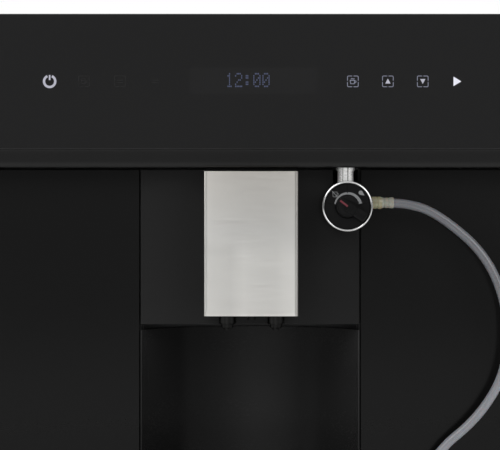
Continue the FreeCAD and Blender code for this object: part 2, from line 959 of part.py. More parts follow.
def make_spout_cover():
    half = "cover_half"
    outer = block(
        "cover_outer",
        (f"spout_x - {half}", f"spout_x + {half}"),
        ("cover_y", "panel_y - cover_gap"),
        ("cover_low", "cover_top"),
    )
    front, top = mm("cover_y"), mm("cover_top")
    bent = round_edges(
        "cover_bent",
        outer,
        "cover_bend",
        lambda e, c: (along(e, "z") or (along(e, "x") and c.z > top - 0.01)) and abs(c.y - front) < 0.01,
    )
    inner = block(
        "cover_inner",
        (f"spout_x - {half} + cover_t", f"spout_x + {half} - cover_t"),
        ("cover_y + cover_t", "panel_y + 1"),
        ("cover_low - 1", "cover_top - cover_t"),
    )
    node("spout_cover", cut("spout_cover_body", bent, inner))


def make_spout_body():
    half = "(cover_half - cover_t)"
    low = "cover_low + spout_tuck"
    high = "cover_top - cover_t"
    wall = "spout_wall"
    outer = block(
        "spout_block",
        (f"spout_x - {half}", f"spout_x + {half}"),
        ("cover_y + cover_t", "panel_y - cover_gap"),
        (low, high),
    )
    tongue = block(
        "spout_tongue",
        (f"spout_x - {half} + 2", f"spout_x + {half} - 2"),
        ("panel_y - cover_gap", "rod_y + rod_r + 4"),
        ("tongue_low", "tongue_low + tongue_h"),
    )
    inner_x = (f"spout_x - {half} + {wall}", f"spout_x + {half} - {wall}")
    inner_y = f"cover_y + cover_t + {wall}"
    duct = block("spout_duct", inner_x, (inner_y, "panel_y - cover_gap - 3"), (f"{low} + {wall}", f"{high} - {wall}"))
    mouth = block("spout_mouth", inner_x, (inner_y, "panel_y"), (f"{low} + {wall}", "tongue_low - 4"))
    bores = [
        rod(f"tongue_bore_{i}", "z", (x, "rod_y"), "rod_r + rod_clear", ("tongue_low - 1", "tongue_low + tongue_h + 1"))
        for i, x in enumerate(ROD_X)
    ]
    holes = [
        rod(f"nozzle_hole_{i}", "z", (x, "nozzle_y"), f"{radius} + press_gap", (f"{low} - 1", f"{low} + {wall} + 1"))
        for i, (x, radius) in enumerate(NOZZLES)
    ]
    solid = join("spout_solid", outer, tongue)
    node("spout_body", cut("spout_body_shell", solid, duct, mouth, *bores, *holes))


NOZZLES = (
    ("spout_x - nozzle_pitch/2 + 0.3", "nozzle_r"),
    ("spout_x + nozzle_pitch/2 + 0.3", "nozzle_r"),
    ("spout_x + 0.1", "outlet_r"),
)


def make_nozzles():
    seat, rim = "nozzle_seat", "nozzle_seat + nozzle_flange"
    pieces = []
    for index, (x, radius) in enumerate(NOZZLES[:2]):
        outline = [
            ("nozzle_bore", "nozzle_tip"),
            ("nozzle_tip_r", "nozzle_tip"),
            ("nozzle_tip_r + 1.2", "nozzle_tip + 2.2"),
            (radius, "nozzle_z"),
            (radius, seat),
            (f"{radius} + 1.5", seat),
            (f"{radius} + 1.5", rim),
            ("nozzle_bore", rim),
        ]
        pieces.append(turned(f"nozzle_{index}", "z", (x, "nozzle_y", "0"), outline))
    x, radius = NOZZLES[2]
    outline = [
        ("outlet_r / 2", "outlet_low"),
        (f"{radius} - 0.8", "outlet_low"),
        (radius, "outlet_low + 0.8"),
        (radius, seat),
        (f"{radius} + 1.2", seat),
        (f"{radius} + 1.2", rim),
        ("outlet_r / 2", rim),
    ]
    pieces.append(turned("water_outlet", "z", (x, "nozzle_y", "0"), outline))
    node("spout_nozzles", group("nozzle_set", *pieces))


# ---------------------------------------------------------------- cup niche and drip drawer


def niche_wall(name, inner, outer, z):
    """A stretch of upright wall that follows the niche's arc, between two radii."""
    at = ("0", "liner_y")
    return cut(f"{name}_arc", rod(f"{name}_out", "z", at, outer, z), rod(f"{name}_in", "z", at, inner, z))


def make_niche():
    z = ("liner_foot", "liner_top")
    arc = niche_wall("liner", "liner_r", "liner_r + liner_t", z)
    reach = block("liner_reach", both("column_half"), ("panel_y", "0"), z)
    wall = common("liner_wall", arc, reach)
    back = "-grounds_front - 1"
    deck = cut(
        "liner_deck",
        block("deck_corners", both("tray_half"), ("panel_y", back), ("liner_foot", "grid_top")),
        rod("deck_cut", "z", ("0", "liner_y"), "liner_r + liner_t/2", ("liner_foot - 1", "grid_top + 1")),
    )
    node("niche_liner", join("niche_liner_body", wall, deck))
    plate = block(
        "roof_plate", both("wall_in - 1"), ("frame_y", "-roof_back"), ("column_low", "column_low + liner_t")
    )
    skirt_in = "liner_r + liner_t + skirt_gap"
    skirt_z = ("column_low - roof_skirt", "column_low")
    skirt = common(
        "roof_skirt_wall",
        niche_wall("skirt", skirt_in, f"{skirt_in} + skirt_t", skirt_z),
        block("skirt_reach", both("wall_in - 1"), ("frame_y", "0"), skirt_z),
    )
    node("niche_roof", join("niche_roof_body", plate, skirt))


def make_tray_front():
    z = ("tray_low", "liner_foot")
    outer = block("tray_front_block", both("tray_half"), ("tray_y", "panel_y"), z)
    front = mm("tray_y")
    rounded = round_edges(
        "tray_front_rounded", outer, "tray_corner", lambda e, c: along(e, "z") and abs(c.y - front) < 0.01
    )
    inner = block(
        "tray_front_hollow",
        both("tray_half - tray_wall"),
        ("tray_y + tray_wall", "panel_y + 1"),
        ("tray_low + tray_wall", "liner_foot + 1"),
    )
    wall = "tray_half - tray_wall"
    soft = round_edges(
        "tray_hollow_rounded", inner, "tray_corner - tray_wall", lambda e, c: along(e, "z") and c.y < front + mm("tray_corner")
    )
    rail_gap = block("tray_front_back", both(wall), ("panel_y - 1", "panel_y + 2"), ("tray_low - 1", "liner_foot + 1"))
    node("tray_front", cut("tray_front_body", rounded, soft, rail_gap))


def make_drip_tray():
    half = "(tray_half - tray_wall - 0.3)"
    front = "tray_y + tray_wall + 0.3"
    base = block("tray_base", both(half), (f"{front} + tray_corner", "grounds_back + 4"), ("tray_floor", "tray_floor + basin_wall"))
    basin = block("basin_block", both(half), (front, "-basin_back"), ("tray_floor", "liner_foot"))
    edge = mm(front)
    rounded = round_edges(
        "basin_rounded", basin, "tray_corner - tray_wall", lambda e, c: along(e, "z") and abs(c.y - edge) < 0.01
    )
    hollow = block(
        "basin_hollow",
        both(f"{half} - basin_wall"),
        (f"{front} + basin_wall", "-basin_back - basin_wall"),
        ("tray_floor + basin_wall", "liner_foot + 1"),
    )
    hollow_soft = round_edges(
        "basin_hollow_rounded",
        hollow,
        "tray_corner - tray_wall - basin_wall/2",
        lambda e, c: along(e, "z") and c.y < edge + mm("tray_corner"),
    )
    solid = join("basin_solid", base, rounded)
    node("drip_tray", cut("drip_tray_body", solid, hollow_soft))


def make_grid():
    z = ("liner_foot", "grid_top")
    plate = block("grid_plate", both("tray_half - tray_wall"), ("tray_y + tray_wall", "-basin_back"), z)
    front = mm("tray_y + tray_wall")
    rounded = round_edges(
        "grid_rounded", plate, "tray_corner - tray_wall", lambda e, c: along(e, "z") and abs(c.y - front) < 0.01
    )
    disc = rod("grid_disc", "z", ("0", "liner_y"), "liner_r - grid_clear", z)
    fore = block("grid_fore", both("tray_half"), ("tray_y", "panel_y"), z)
    shape = common("grid_shape", rounded, join("grid_limits", disc, fore))
    slots = []
    for index in range(int(mm("slot_count"))):
        low = f"tray_y + tray_wall + grid_margin + 3 + {index} * slot_pitch"
        reach = f"grid_slot_reach - {6 * max(0, index - 7)}"
        for side, x in (("left", (f"-({reach})", "-slot_w")), ("right", ("slot_w", reach))):
            slots.append(
                block(
                    f"grid_slot_{side}_{index}",
                    x,
                    (low, f"{low} + slot_w"),
                    ("liner_foot - 1", "grid_top + 1"),
                )
            )
    node("drip_grid", cut("drip_grid_body", shape, *slots))


def make_grounds_container():
    low = "tray_floor + basin_wall"
    outer = block("grounds_block", both("grounds_half"), ("-grounds_front", "grounds_back"), (low, "grounds_top"))
    rounded = round_edges("grounds_rounded", outer, "6", lambda e, c: along(e, "z"))
    wall = "basin_wall"
    inner = block(
        "grounds_hollow",
        both(f"grounds_half - {wall}"),
        (f"-grounds_front + {wall}", f"grounds_back - {wall}"),
        (f"{low} + {wall}", "grounds_top + 1"),
    )
    node("grounds_container", cut("grounds_body", rounded, inner))
    low = "tray_floor + basin_wall"
    flt = rod("float_block", "z", ("float_x", "float_y"), "float_r", (low, f"{low} + float_h"))
    stem = rod("float_stem", "z", ("float_x", "float_y"), "2", (f"{low} + float_h", f"{low} + float_h + 18"))
    node("tray_float", join("tray_float_body", flt, stem))


# ---------------------------------------------------------------- milk frother


def make_frother_tube():
    top = "steam_z + steam_r + 2"
    tube = rod("tube_outer", "z", TUBE_AT, "tube_r", ("tube_low", "glass_low - 1"))
    neck = rod("tube_neck", "z", TUBE_AT, "steam_r", ("glass_low - 1", top))
    arm = rod("tube_arm", "y", ("tube_x", "steam_z"), "steam_r", ("tube_y", "cabinet_y + 14"))
    collar = rod("tube_collar", "z", TUBE_AT, "collar_r", ("control_low - collar_h", "control_low"))
    bore = rod("tube_bore_up", "z", TUBE_AT, "tube_bore", ("tube_low - 1", "steam_z"))
    bore_back = rod("tube_bore_back", "y", ("tube_x", "steam_z"), "steam_r - 1.2", ("tube_y", "cabinet_y + 15"))
    solid = join("tube_solid", tube, neck, arm, collar)
    node("frother_tube", cut("frother_tube_body", solid, bore, bore_back))


def make_frother_head():
    at = ("frother_x", "frother_z")
    barrel = rod("head_barrel", "y", at, "body_r", ("head_front", "head_back"))
    spindle_hole = rod(
        "head_spindle_hole", "y", at, "spindle_r + spindle_clear", ("head_front - 1", "head_front + 12")
    )
    socket = rod("head_tube_socket", "z", TUBE_AT, "tube_r + press_gap", ("tube_low", "frother_z + frother_r + 4"))
    port = rod(
        "head_hose_port",
        "x",
        ("hose_y", "hose_z"),
        "connector_r + press_gap",
        ("head_side - port_depth", "head_side + 2"),
    )
    node("frother_body", cut("frother_body_barrel", barrel, spindle_hole, socket, port))
    outline = [
        ("frother_r - ring_w", "face_y + 0.8"),
        ("frother_r - ring_w + 0.8", "face_y"),
        ("frother_r - 0.8", "face_y"),
        ("frother_r", "face_y + 0.8"),
        ("frother_r", "head_front"),
        ("frother_r - ring_w", "head_front"),
    ]
    node("frother_ring", turned("frother_ring_turned", "y", ("frother_x", "0", "frother_z"), outline))
    face = rod("face_disc", "y", at, "frother_r - ring_w - press_gap", ("face_y + face_in", "head_front"))
    face_hole = rod("face_hole", "y", at, "spindle_r + spindle_clear", ("face_y", "head_front + 1"))
    node("frother_face", cut("frother_face_body", face, face_hole))


def make_dial():
    front = "face_y + face_in - hub_d"
    back = "face_y + face_in - 0.2"
    hub = rod("dial_hub", "y", ("frother_x", "frother_z"), "hub_r", (front, back))
    spindle = rod("dial_spindle", "y", ("frother_x", "frother_z"), "spindle_r", (back, "head_front + 11"))
    lever = doc.addObject("Part::Box", "dial_lever")
    bind(lever, Length="frother_r - ring_w - 0.8", Width="lever_w", Height=f"({back}) - ({front})")
    tilt = FreeCAD.Rotation(AXIS["y"], -mm("lever_angle"))
    lever.Placement.Rotation = tilt.multiply(FreeCAD.Rotation(AXIS["x"], 90))
    angle = f"({mm('lever_angle')})"
    place(
        lever,
        f"frother_x + lever_w/2 * sin({angle} * 1deg)",
        back,
        f"frother_z - lever_w/2 * cos({angle} * 1deg)",
    )
    node("dial_knob", join("dial_knob_body", hub, spindle, lever))


def make_connector():
    outline = [
        ("1.9", "head_side - port_depth"),
        ("connector_r", "head_side - port_depth"),
        ("connector_r", "connector_step"),
        ("connector_neck", "connector_step"),
        ("connector_neck", "connector_end"),
        ("hose_d/2 + hose_clear", "connector_end"),
        ("hose_d/2 + hose_clear", "hose_start"),
        ("1.9", "hose_start"),
    ]
    node("hose_connector", turned("hose_connector_turned", "x", ("0", "hose_y", "hose_z"), outline))


def make_park_socket():
    at = ("park_x", "hose_y")
    outer_r = "hose_d/2 + park_wall"
    cup = rod("park_cup", "z", at, outer_r, ("park_stop - 8", "park_top"))
    bore = rod("park_bore", "z", at, "hose_d/2 + hose_clear", ("park_stop", "park_top + 1"))
    arm = block(
        "park_arm", ("park_x - 3", "park_x + 3"), ("hose_y", "panel_y - 2"), ("park_stop - 6", "park_top - 4")
    )
    half = "park_plate/2"
    plate = block(
        "park_foot",
        (f"park_x - {half}", f"park_x + {half}"),
        ("panel_y - 2.5", "panel_y"),
        ("park_stop - 10", "park_top"),
    )
    foot = round_edges("park_foot_rounded", plate, "5", lambda e, c: along(e, "y"))
    node("park_socket", cut("park_socket_body", join("park_solid", cup, arm, foot), bore))


# Route of the milk hose: x, y, z of each point, from the connector to the park socket.
HOSE_ROUTE = [
    (107, -194, 305.8),
    (131.5, -194, 305.8),
    (163, -195, 291),
    (191.4, -198, 260.8),
    (206.4, -201, 219.4),
    (205, -202, 172),
    (183.3, -199, 134.7),
    (151, -194.6, 107.4),
    (140, -194, 83.8),
    (140, -194, 58),
]
ARC_SHARE = 0.45


def rounded_route(points):
    """Straight runs joined by tangent arcs, with the radius of each arc."""
    spots = [FreeCAD.Vector(*p) for p in points]
    edges, radii = [], []
    here = spots[0]
    for before, corner, after in zip(spots, spots[1:], spots[2:]):
        into, out = corner - before, after - corner
        turn = into.getAngle(out)
        back = ARC_SHARE * min(into.Length, out.Length)
        radii.append(back / math.tan(turn / 2))
        start = corner - into.normalize() * back
        end = corner + out.normalize() * back
        bisector = (end + start) * 0.5 - corner
        to_arc = radii[-1] / math.cos(turn / 2) - radii[-1]
        edges.append(Part.LineSegment(here, start).toShape())
        middle = corner + bisector.normalize() * to_arc
        edges.append(Part.Arc(start, middle, end).toShape())
        here = end
    edges.append(Part.LineSegment(here, spots[-1]).toShape())
    return Part.Wire(edges), radii


def tube_along(label, points, radius):
    """A round solid along a rounded route."""
    wire, radii = rounded_route(points)
    start = FreeCAD.Vector(*points[0])
    ahead = FreeCAD.Vector(*points[1]) - start
    section = Part.Wire(Part.makeCircle(mm(radius), start, ahead))
    piece = doc.addObject("Part::Feature", label)
    piece.Shape = wire.makePipeShell([section], True, False)
    ideal = math.pi * mm(radius) ** 2 * wire.Length
    print(f"{label}: length {wire.Length:.1f}, smallest radius {min(radii):.1f}, "
          f"volume {piece.Shape.Volume:.0f} of {ideal:.0f}")
    return node(label, piece)




def pipe(name, *corners):
    """A rigid pipe through corners, each run along one axis, with a ball elbow at each turn."""
    pieces = []
    for index, (start, end) in enumerate(zip(corners, corners[1:])):
        number = next(i for i in range(3) if start[i] != end[i])
        at = tuple(start[i] for i in range(3) if i != number)
        span = sorted((start[number], end[number]), key=mm)
        pieces.append(rod(f"{name}_run_{index}", "xyz"[number], at, "pipe_r", span))
    for index, corner in enumerate(corners[1:-1]):
        elbow = doc.addObject("Part::Sphere", f"{name}_elbow_{index}")
        pieces.append(place(bind(elbow, Radius="pipe_r * elbow_swell"), *corner))
    return join(name, *pieces)


def make_pipes():
    pump_x, pump_z, pump_front, pump_back = "pump_x", "pump_z", "pump_head", "pump_tail"
    tank_y = "tank_valve_y"
    socket_x = "tank_x + tank_valve_r + 3"
    suction = pipe(
        "suction_pipe",
        (socket_x, tank_y, pump_z),
        (pump_x, tank_y, pump_z),
        (pump_x, pump_back, pump_z),
    )
    turn_y, feed_z, brew_y, valve_z = f"{pump_front} - 8", "boiler_low + boiler_h/2", "coffee_boiler_y", "steam_z"
    feed = pipe(
        "feed_pipe",
        (pump_x, pump_front, pump_z),
        (pump_x, turn_y, pump_z),
        (pump_x, turn_y, feed_z),
        (pump_x, brew_y, feed_z),
        ("boiler_x + boiler_r", brew_y, feed_z),
    )
    brew = pipe(
        "brew_pipe",
        ("boiler_x", brew_y, "plug_top"),
        ("boiler_x", brew_y, "brew_pipe_z"),
        ("boiler_x", "brew_y", "brew_pipe_z"),
        ("brew_port", "brew_y", "brew_pipe_z"),
    )
    steam = pipe(
        "steam_pipe",
        ("boiler_x", "steam_boiler_y", "plug_top"),
        ("boiler_x", "steam_boiler_y", valve_z),
        ("boiler_x", "steam_pipe_y", valve_z),
        ("wall_in", "steam_pipe_y", valve_z),
    )
    node("water_pipes", group("pipe_set", suction, feed, brew, steam))


# ---------------------------------------------------------------- water tank drawer


def make_runners():
    solids = []
    sides = (("left", "-runner_left", "-runner_left + runner_w", -1), ("right", "-runner_right - runner_w", "-runner_right", 1))
    for name, x0, x1, side in sides:
        rail = block(
            f"runner_{name}", (x0, x1), ("-runner_front", "runner_back"), ("pan_floor", "runner_top")
        )
        open_x = (f"{x1} - groove_d", f"{x1} + 1") if side < 0 else (f"{x0} - 1", f"{x0} + groove_d")
        groove = block(
            f"groove_{name}", open_x, ("-runner_front - 1", "runner_back + 1"), ("groove_z", "groove_z + groove_h")
        )
        pipe_gap = rod(f"runner_pipe_gap_{name}", "x", SUCTION_AT, "pipe_r + pipe_clear", (f"{x0} - 1", f"{x1} + 1"))
        solids.append(cut(f"runner_{name}_cut", rail, groove, pipe_gap))
    node("tank_runners", group("runner_pair", *solids))


def make_carrier():
    gap = "groove_clear"
    front, back = "panel_y + panel_skin", "carrier_back"
    x0, x1 = "-runner_left + runner_w", "-runner_right - runner_w"
    base_z = ("carrier_low", "carrier_top")
    floor = block("carrier_floor_plate", (f"{x0} + {gap}", f"{x1} - {gap}"), ("-runner_front", back), base_z)
    ribs = block(
        "carrier_ribs",
        (f"{x0} - groove_d + {gap}", f"{x1} + groove_d - {gap}"),
        ("-runner_front + 4", back),
        base_z,
    )
    head = block("carrier_head", (f"{x0} + 6", f"{x1} - 6"), (front, "-runner_front + 3"), ("carrier_low", "carrier_low + carrier_head"))
    rim = "carrier_rim"
    seat = "tank_seat"
    frame = block(
        "carrier_rim_block",
        (f"tank_left - {seat} - {rim}", f"tank_right + {seat} + {rim}"),
        (f"-tank_front - {seat} - {rim}", f"tank_back + {seat} + {rim}"),
        ("carrier_top", "carrier_top + carrier_wall"),
    )
    nest = block(
        "carrier_nest",
        (f"tank_left - {seat}", f"tank_right + {seat}"),
        (f"-tank_front - {seat}", f"tank_back + {seat}"),
        ("carrier_top", "carrier_top + carrier_wall + 1"),
    )
    valve_hole = rod(
        "carrier_valve_hole", "z", ("tank_x", "tank_valve_y"), "tank_valve_r + 0.5", ("groove_z - 1", "tank_low")
    )
    solid = join("carrier_solid", floor, ribs, head, frame)
    node("tank_carrier", cut("tank_carrier_body", solid, nest, valve_hole))
    middle = ("tank_x", "tank_valve_y")
    cup = rod("socket_cup", "z", middle, "tank_valve_r + 3", ("pan_floor", "socket_top"))
    well = rod("socket_well", "z", middle, "tank_valve_r - 2", ("socket_top - 8", "socket_top + 1"))
    node("tank_socket", cut("tank_socket_body", cup, well))


def make_tank():
    x, y = ("tank_left", "tank_right"), ("-tank_front", "tank_back")
    outer = block("tank_block", x, y, ("tank_low", "tank_top"))
    rounded = round_edges("tank_rounded", outer, "8", lambda e, c: along(e, "z"))
    wall = "tank_wall"
    inner = block(
        "tank_hollow",
        (f"tank_left + {wall}", f"tank_right - {wall}"),
        (f"-tank_front + {wall}", f"tank_back - {wall}"),
        (f"tank_low + {wall}", "tank_top - lid_t"),
    )
    soft = round_edges("tank_hollow_rounded", inner, "8 - tank_wall", lambda e, c: along(e, "z"))
    valve = rod(
        "tank_valve", "z", ("tank_x", "tank_valve_y"), "tank_valve_r", ("tank_low - tank_valve_drop", "tank_low + 6")
    )
    mouth = block("tank_mouth", FLAP_X, FLAP_Y, ("tank_top - lid_t - 1", "tank_top + 1"))
    shell = cut("tank_shell", rounded, soft, mouth)
    pin_z = "tank_top + 2.2"
    ears = [
        cut(
            f"flap_ear_{i}",
            block(f"flap_ear_block_{i}", (x, f"{x} + 3"), (f"{FLAP_PIN_Y} - 2.2", f"{FLAP_PIN_Y} + 2.2"), ("tank_top", "tank_top + 4.4")),
            rod(f"flap_ear_bore_{i}", "x", (FLAP_PIN_Y, pin_z), "flap_pin + 0.06", (f"{x} - 1", f"{x} + 4")),
        )
        for i, x in enumerate(("tank_left + 30", "tank_right - 33"))
    ]
    node("water_tank", join("water_tank_body", shell, valve, *ears))
    plate = block(
        "flap_plate",
        (f"{FLAP_X[0]} - 4", f"{FLAP_X[1]} + 4"),
        (f"{FLAP_Y[0]} - 4", f"{FLAP_Y[1]} + 1"),
        ("tank_top + 0.3", "tank_top + 2.3"),
    )
    pin = rod("flap_hinge_pin", "x", (FLAP_PIN_Y, pin_z), "flap_pin", ("tank_left + 30", "tank_right - 30"))
    web = block(
        "flap_web",
        ("tank_left + 36", "tank_right - 36"),
        (f"{FLAP_Y[1]} - 1", FLAP_PIN_Y),
        ("tank_top + 1.1", "tank_top + 2.3"),
    )
    node("tank_flap", join("tank_flap_body", plate, pin, web))


FLAP_X = ("tank_left + flap_margin", "tank_right - flap_margin")
FLAP_Y = ("-tank_front + flap_margin", "-tank_front + flap_margin + flap_l")
FLAP_PIN_Y = "(-tank_front + flap_margin + flap_l + 5)"


# ---------------------------------------------------------------- beans and grinder


def funnel(name, inset, low, high):
    """The hopper's outside or inside, drawn in by a wall: a box over a tapered throat."""
    x = (f"hopper_x - hopper_w/2 + {inset}", f"hopper_x + hopper_w/2 - {inset}")
    y = (f"hopper_y - hopper_d/2 + {inset}", f"hopper_y + hopper_d/2 - {inset}")
    half = f"(throat_half - {inset})"
    taper = doc.addObject("Part::Wedge", f"{name}_taper")
    taper.Placement.Rotation = FreeCAD.Rotation(AXIS["x"], 90)
    bind(
        taper,
        Xmin=f"grinder_x - {half}",
        Xmax=f"grinder_x + {half}",
        Ymin=low,
        Ymax="hopper_low",
        Zmin=f"-grinder_y - {half}",
        Zmax=f"-grinder_y + {half}",
        X2min=x[0],
        X2max=x[1],
        Z2min=f"-({y[1]})",
        Z2max=f"-({y[0]})",
    )
    return join(name, taper, block(f"{name}_box", x, y, ("hopper_low", high)))


def make_hopper():
    outer = funnel("hopper_outer", "0", "throat_low", "hopper_top")
    inner = funnel("hopper_inner", "hopper_wall", "throat_low - 1", "hopper_top + 1")
    node("bean_hopper", cut("bean_hopper_body", outer, inner))
    lap = "bean_lid_gap"
    z0 = "body_top + bean_lid_gap"
    plate = block(
        "bean_lid_plate",
        ("hopper_x - hopper_w/2", "hopper_x + hopper_w/2"),
        ("hopper_y - hopper_d/2", f"{HINGE_Y} - 3"),
        (z0, f"{z0} + bean_lid_t"),
    )
    middle = mm("hopper_y")
    rounded = round_edges("bean_lid_rounded", plate, "lid_corner", lambda e, c: along(e, "z") and c.y < middle)
    plug = block(
        "bean_lid_plug",
        (f"hopper_x - hopper_w/2 + bean_lid_lap + {lap}", f"hopper_x + hopper_w/2 - bean_lid_lap - {lap}"),
        (f"hopper_y - hopper_d/2 + bean_lid_lap + {lap}", f"hopper_y + hopper_d/2 - bean_lid_lap - 4"),
        ("roof_in - 2", z0),
    )
    pin = rod("bean_lid_pin", "x", (HINGE_Y, HINGE_Z), "flap_pin", ("hopper_x - lid_pin_half", "hopper_x + lid_pin_half"))
    web = block(
        "bean_lid_web", ("hopper_x - lid_pin_half + 6", "hopper_x + lid_pin_half - 6"), (f"{HINGE_Y} - 4", HINGE_Y), ("body_top + 1", "body_top + 2.6")
    )
    node("bean_lid", join("bean_lid_body", rounded, plug, pin, web))
    head = rod("knob_head", "z", ("knob_x", "knob_y"), "knob_r", ("body_top + 0.3", "body_top + 0.3 + knob_h"))
    grip = block(
        "knob_grip",
        ("knob_x - 1.5", "knob_x + 1.5"),
        ("knob_y - knob_r + 1", "knob_y + knob_r - 1"),
        ("body_top + 0.3 + knob_h", "body_top + 1 + knob_h"),
    )
    stem = rod("knob_stem", "z", ("knob_x", "knob_y"), "spindle_r", ("body_top - 18", "body_top + 0.3"))
    node("grind_knob", join("grind_knob_body", head, grip, stem))


def make_grinder():
    at = ("grinder_x", "grinder_y")
    case = rod("grinder_case", "z", at, "grinder_r", ("grinder_low", "throat_low"))
    room = rod("grinder_room", "z", at, "grinder_r - grinder_wall", ("grinder_low + grinder_wall", "throat_low - grinder_wall"))
    throat = rod("grinder_throat", "z", at, "throat_half - hopper_wall - 2", ("throat_low - 10", "throat_low + 1"))
    shaft_hole = rod("grinder_shaft_hole", "z", at, "shaft_r + spindle_clear", ("grinder_low - 1", "grinder_low + 10"))
    legs = []
    for index, turn in enumerate((60, 180, 300)):
        x = f"grinder_x + (grinder_r + 2) * {math.cos(math.radians(turn)):.4f}"
        y = f"grinder_y + (grinder_r + 2) * {math.sin(math.radians(turn)):.4f}"
        legs.append(rod(f"grinder_leg_{index}", "z", (x, y), "grinder_leg_r", ("deck_top", "grinder_low + 6")))
    solid = join("grinder_solid", case, *legs)
    node("grinder_housing", cut("grinder_housing_body", solid, room, throat, shaft_hole))
    burr_top = "burr_low + burr_h"
    outline = [
        ("burr_r - burr_lip", burr_top + " + burr_gap"),
        ("grinder_r - grinder_wall", burr_top + " + burr_gap"),
        ("grinder_r - grinder_wall", burr_top + " + burr_gap + ring_h"),
        ("burr_r - burr_mouth", burr_top + " + burr_gap + ring_h"),
    ]
    node("upper_burr", turned("upper_burr_turned", "z", ("grinder_x", "grinder_y", "0"), outline))
    motor = rod("motor_can", "z", ("motor_x", "grinder_y"), "motor_r", ("deck_top", "motor_top"))
    bore = rod("motor_bore", "z", ("motor_x", "grinder_y"), "motor_shaft_r + spindle_clear", ("motor_top - 20", "motor_top + 1"))
    node("grinder_motor", cut("grinder_motor_body", motor, bore))


def gear_face(teeth, module, phase):
    """A flat gear outline with straight-sided teeth, centred on the origin."""
    pitch_r = module * teeth / 2
    root, tip = pitch_r - 1.2 * module, pitch_r + 0.85 * module
    step = 2 * math.pi / teeth
    points = []
    for tooth in range(teeth):
        middle = phase + tooth * step
        for radius, share in ((root, -0.30), (tip, -0.12), (tip, 0.12), (root, 0.30)):
            angle = middle + share * step
            points.append(FreeCAD.Vector(radius * math.cos(angle), radius * math.sin(angle), 0))
    points.append(points[0])
    return Part.Face(Part.makePolygon(points))


def gear(name, teeth, phase, x):
    """A spur gear on the grinder's gear plane, as a solid of its own."""
    wheel = doc.addObject("Part::Feature", name)
    face = gear_face(int(mm(teeth)), mm("gear_module"), phase)
    wheel.Shape = face.extrude(FreeCAD.Vector(0, 0, mm("gear_h")))
    wheel.Placement.Base = FreeCAD.Vector(mm(x), mm("grinder_y"), mm("gear_low"))
    return wheel


def make_grinder_drive():
    wheel = gear("burr_gear", "gear_teeth", 0, "grinder_x")
    shaft = rod("burr_shaft", "z", ("grinder_x", "grinder_y"), "shaft_r", ("gear_low", "burr_low"))
    burr = cone("burr_cone", "z", ("grinder_x", "grinder_y"), ("burr_r", "burr_r - 10"), ("burr_low", "burr_low + burr_h"))
    node("lower_burr", join("lower_burr_body", wheel, shaft, burr))
    half_tooth = math.pi / mm("pinion_teeth")
    pinion = gear("pinion_wheel", "pinion_teeth", math.pi + half_tooth, "motor_x")
    spindle = rod("motor_spindle", "z", ("motor_x", "grinder_y"), "motor_shaft_r", ("motor_top - 18", "gear_low"))
    node("motor_pinion", join("motor_pinion_body", pinion, spindle))


# ---------------------------------------------------------------- brewing group


def make_brew_group():
    x = both("group_half")
    back = block("group_back_wall", x, ("group_back - 4", "group_back"), ("pan_floor", "group_top"))
    base = block("group_base_beam", x, ("brew_y - 30", "group_back"), ("group_base", "group_base + group_beam"))
    top = block("group_top_beam", x, ("brew_y - 30", "group_back"), ("group_top - group_beam", "group_top"))
    piston = rod("brew_piston", "z", ("0", "brew_y"), "chamber_bore - piston_clear", ("piston_low", "group_top"))
    port = rod("brew_port_boss", "x", BREW_AT, "pipe_r + 2", ("chamber_bore - 4", "brew_port"))
    feet = [
        block(f"group_foot_{i}", (fx, f"{fx} + 4"), ("brew_y - 30", "group_back"), ("pan_floor", "group_base"))
        for i, fx in enumerate(("-group_half", "group_half - 4"))
    ]
    bore = rod("group_screw_bore", "z", ("0", "screw_y"), "screw_r + spindle_clear", ("screw_low - 0.3", "screw_high + 0.3"))
    solid = join("group_solid", back, base, top, piston, port, *feet)
    node("infuser_frame", cut("infuser_frame_body", solid, bore))
    high = "chamber_top"
    chamber = rod("chamber", "z", ("0", "brew_y"), "chamber_r", ("chamber_low", high))
    nut = block("chamber_nut", both("12"), ("brew_y + 20", "screw_y + 8"), ("chamber_low", "chamber_low + 30"))
    well = rod("chamber_well", "z", ("0", "brew_y"), "chamber_bore", ("chamber_low + 8", f"{high} + 1"))
    nut_bore = rod("nut_bore", "z", ("0", "screw_y"), "screw_r + rod_clear", ("chamber_low - 1", f"{high} + 1"))
    node("infuser_carriage", cut("infuser_carriage_body", join("chamber_solid", chamber, nut), well, nut_bore))
    screw = rod("screw_rod", "z", ("0", "screw_y"), "screw_r", ("screw_low", "screw_high"))
    node("lead_screw", screw)


# ---------------------------------------------------------------- boilers, pump and electrics


def make_boiler(label, y):
    at = ("boiler_x", y)
    tank = rod(f"{label}_can", "z", at, "boiler_r", ("boiler_low", "boiler_top"))
    flange = rod(f"{label}_flange", "z", at, "boiler_r + 4", ("boiler_top - 22", "boiler_top - 16"))
    plug = rod(f"{label}_plug", "z", at, "plug_r", ("boiler_top", "plug_top"))
    foot = block(
        f"{label}_foot",
        ("boiler_x - 24", "boiler_x + 24"),
        (f"{y} - 24", f"{y} + 24"),
        ("pan_floor", "pan_floor + 3"),
    )
    legs = [
        block(
            f"{label}_leg_{i}",
            (lx, f"{lx} + 3"),
            (f"{y} - 12", f"{y} + 12"),
            ("pan_floor", "boiler_low + 10"),
        )
        for i, lx in enumerate(("boiler_x - 21", "boiler_x + 18"))
    ]
    node(label, join(f"{label}_body", tank, flange, plug, foot, *legs))


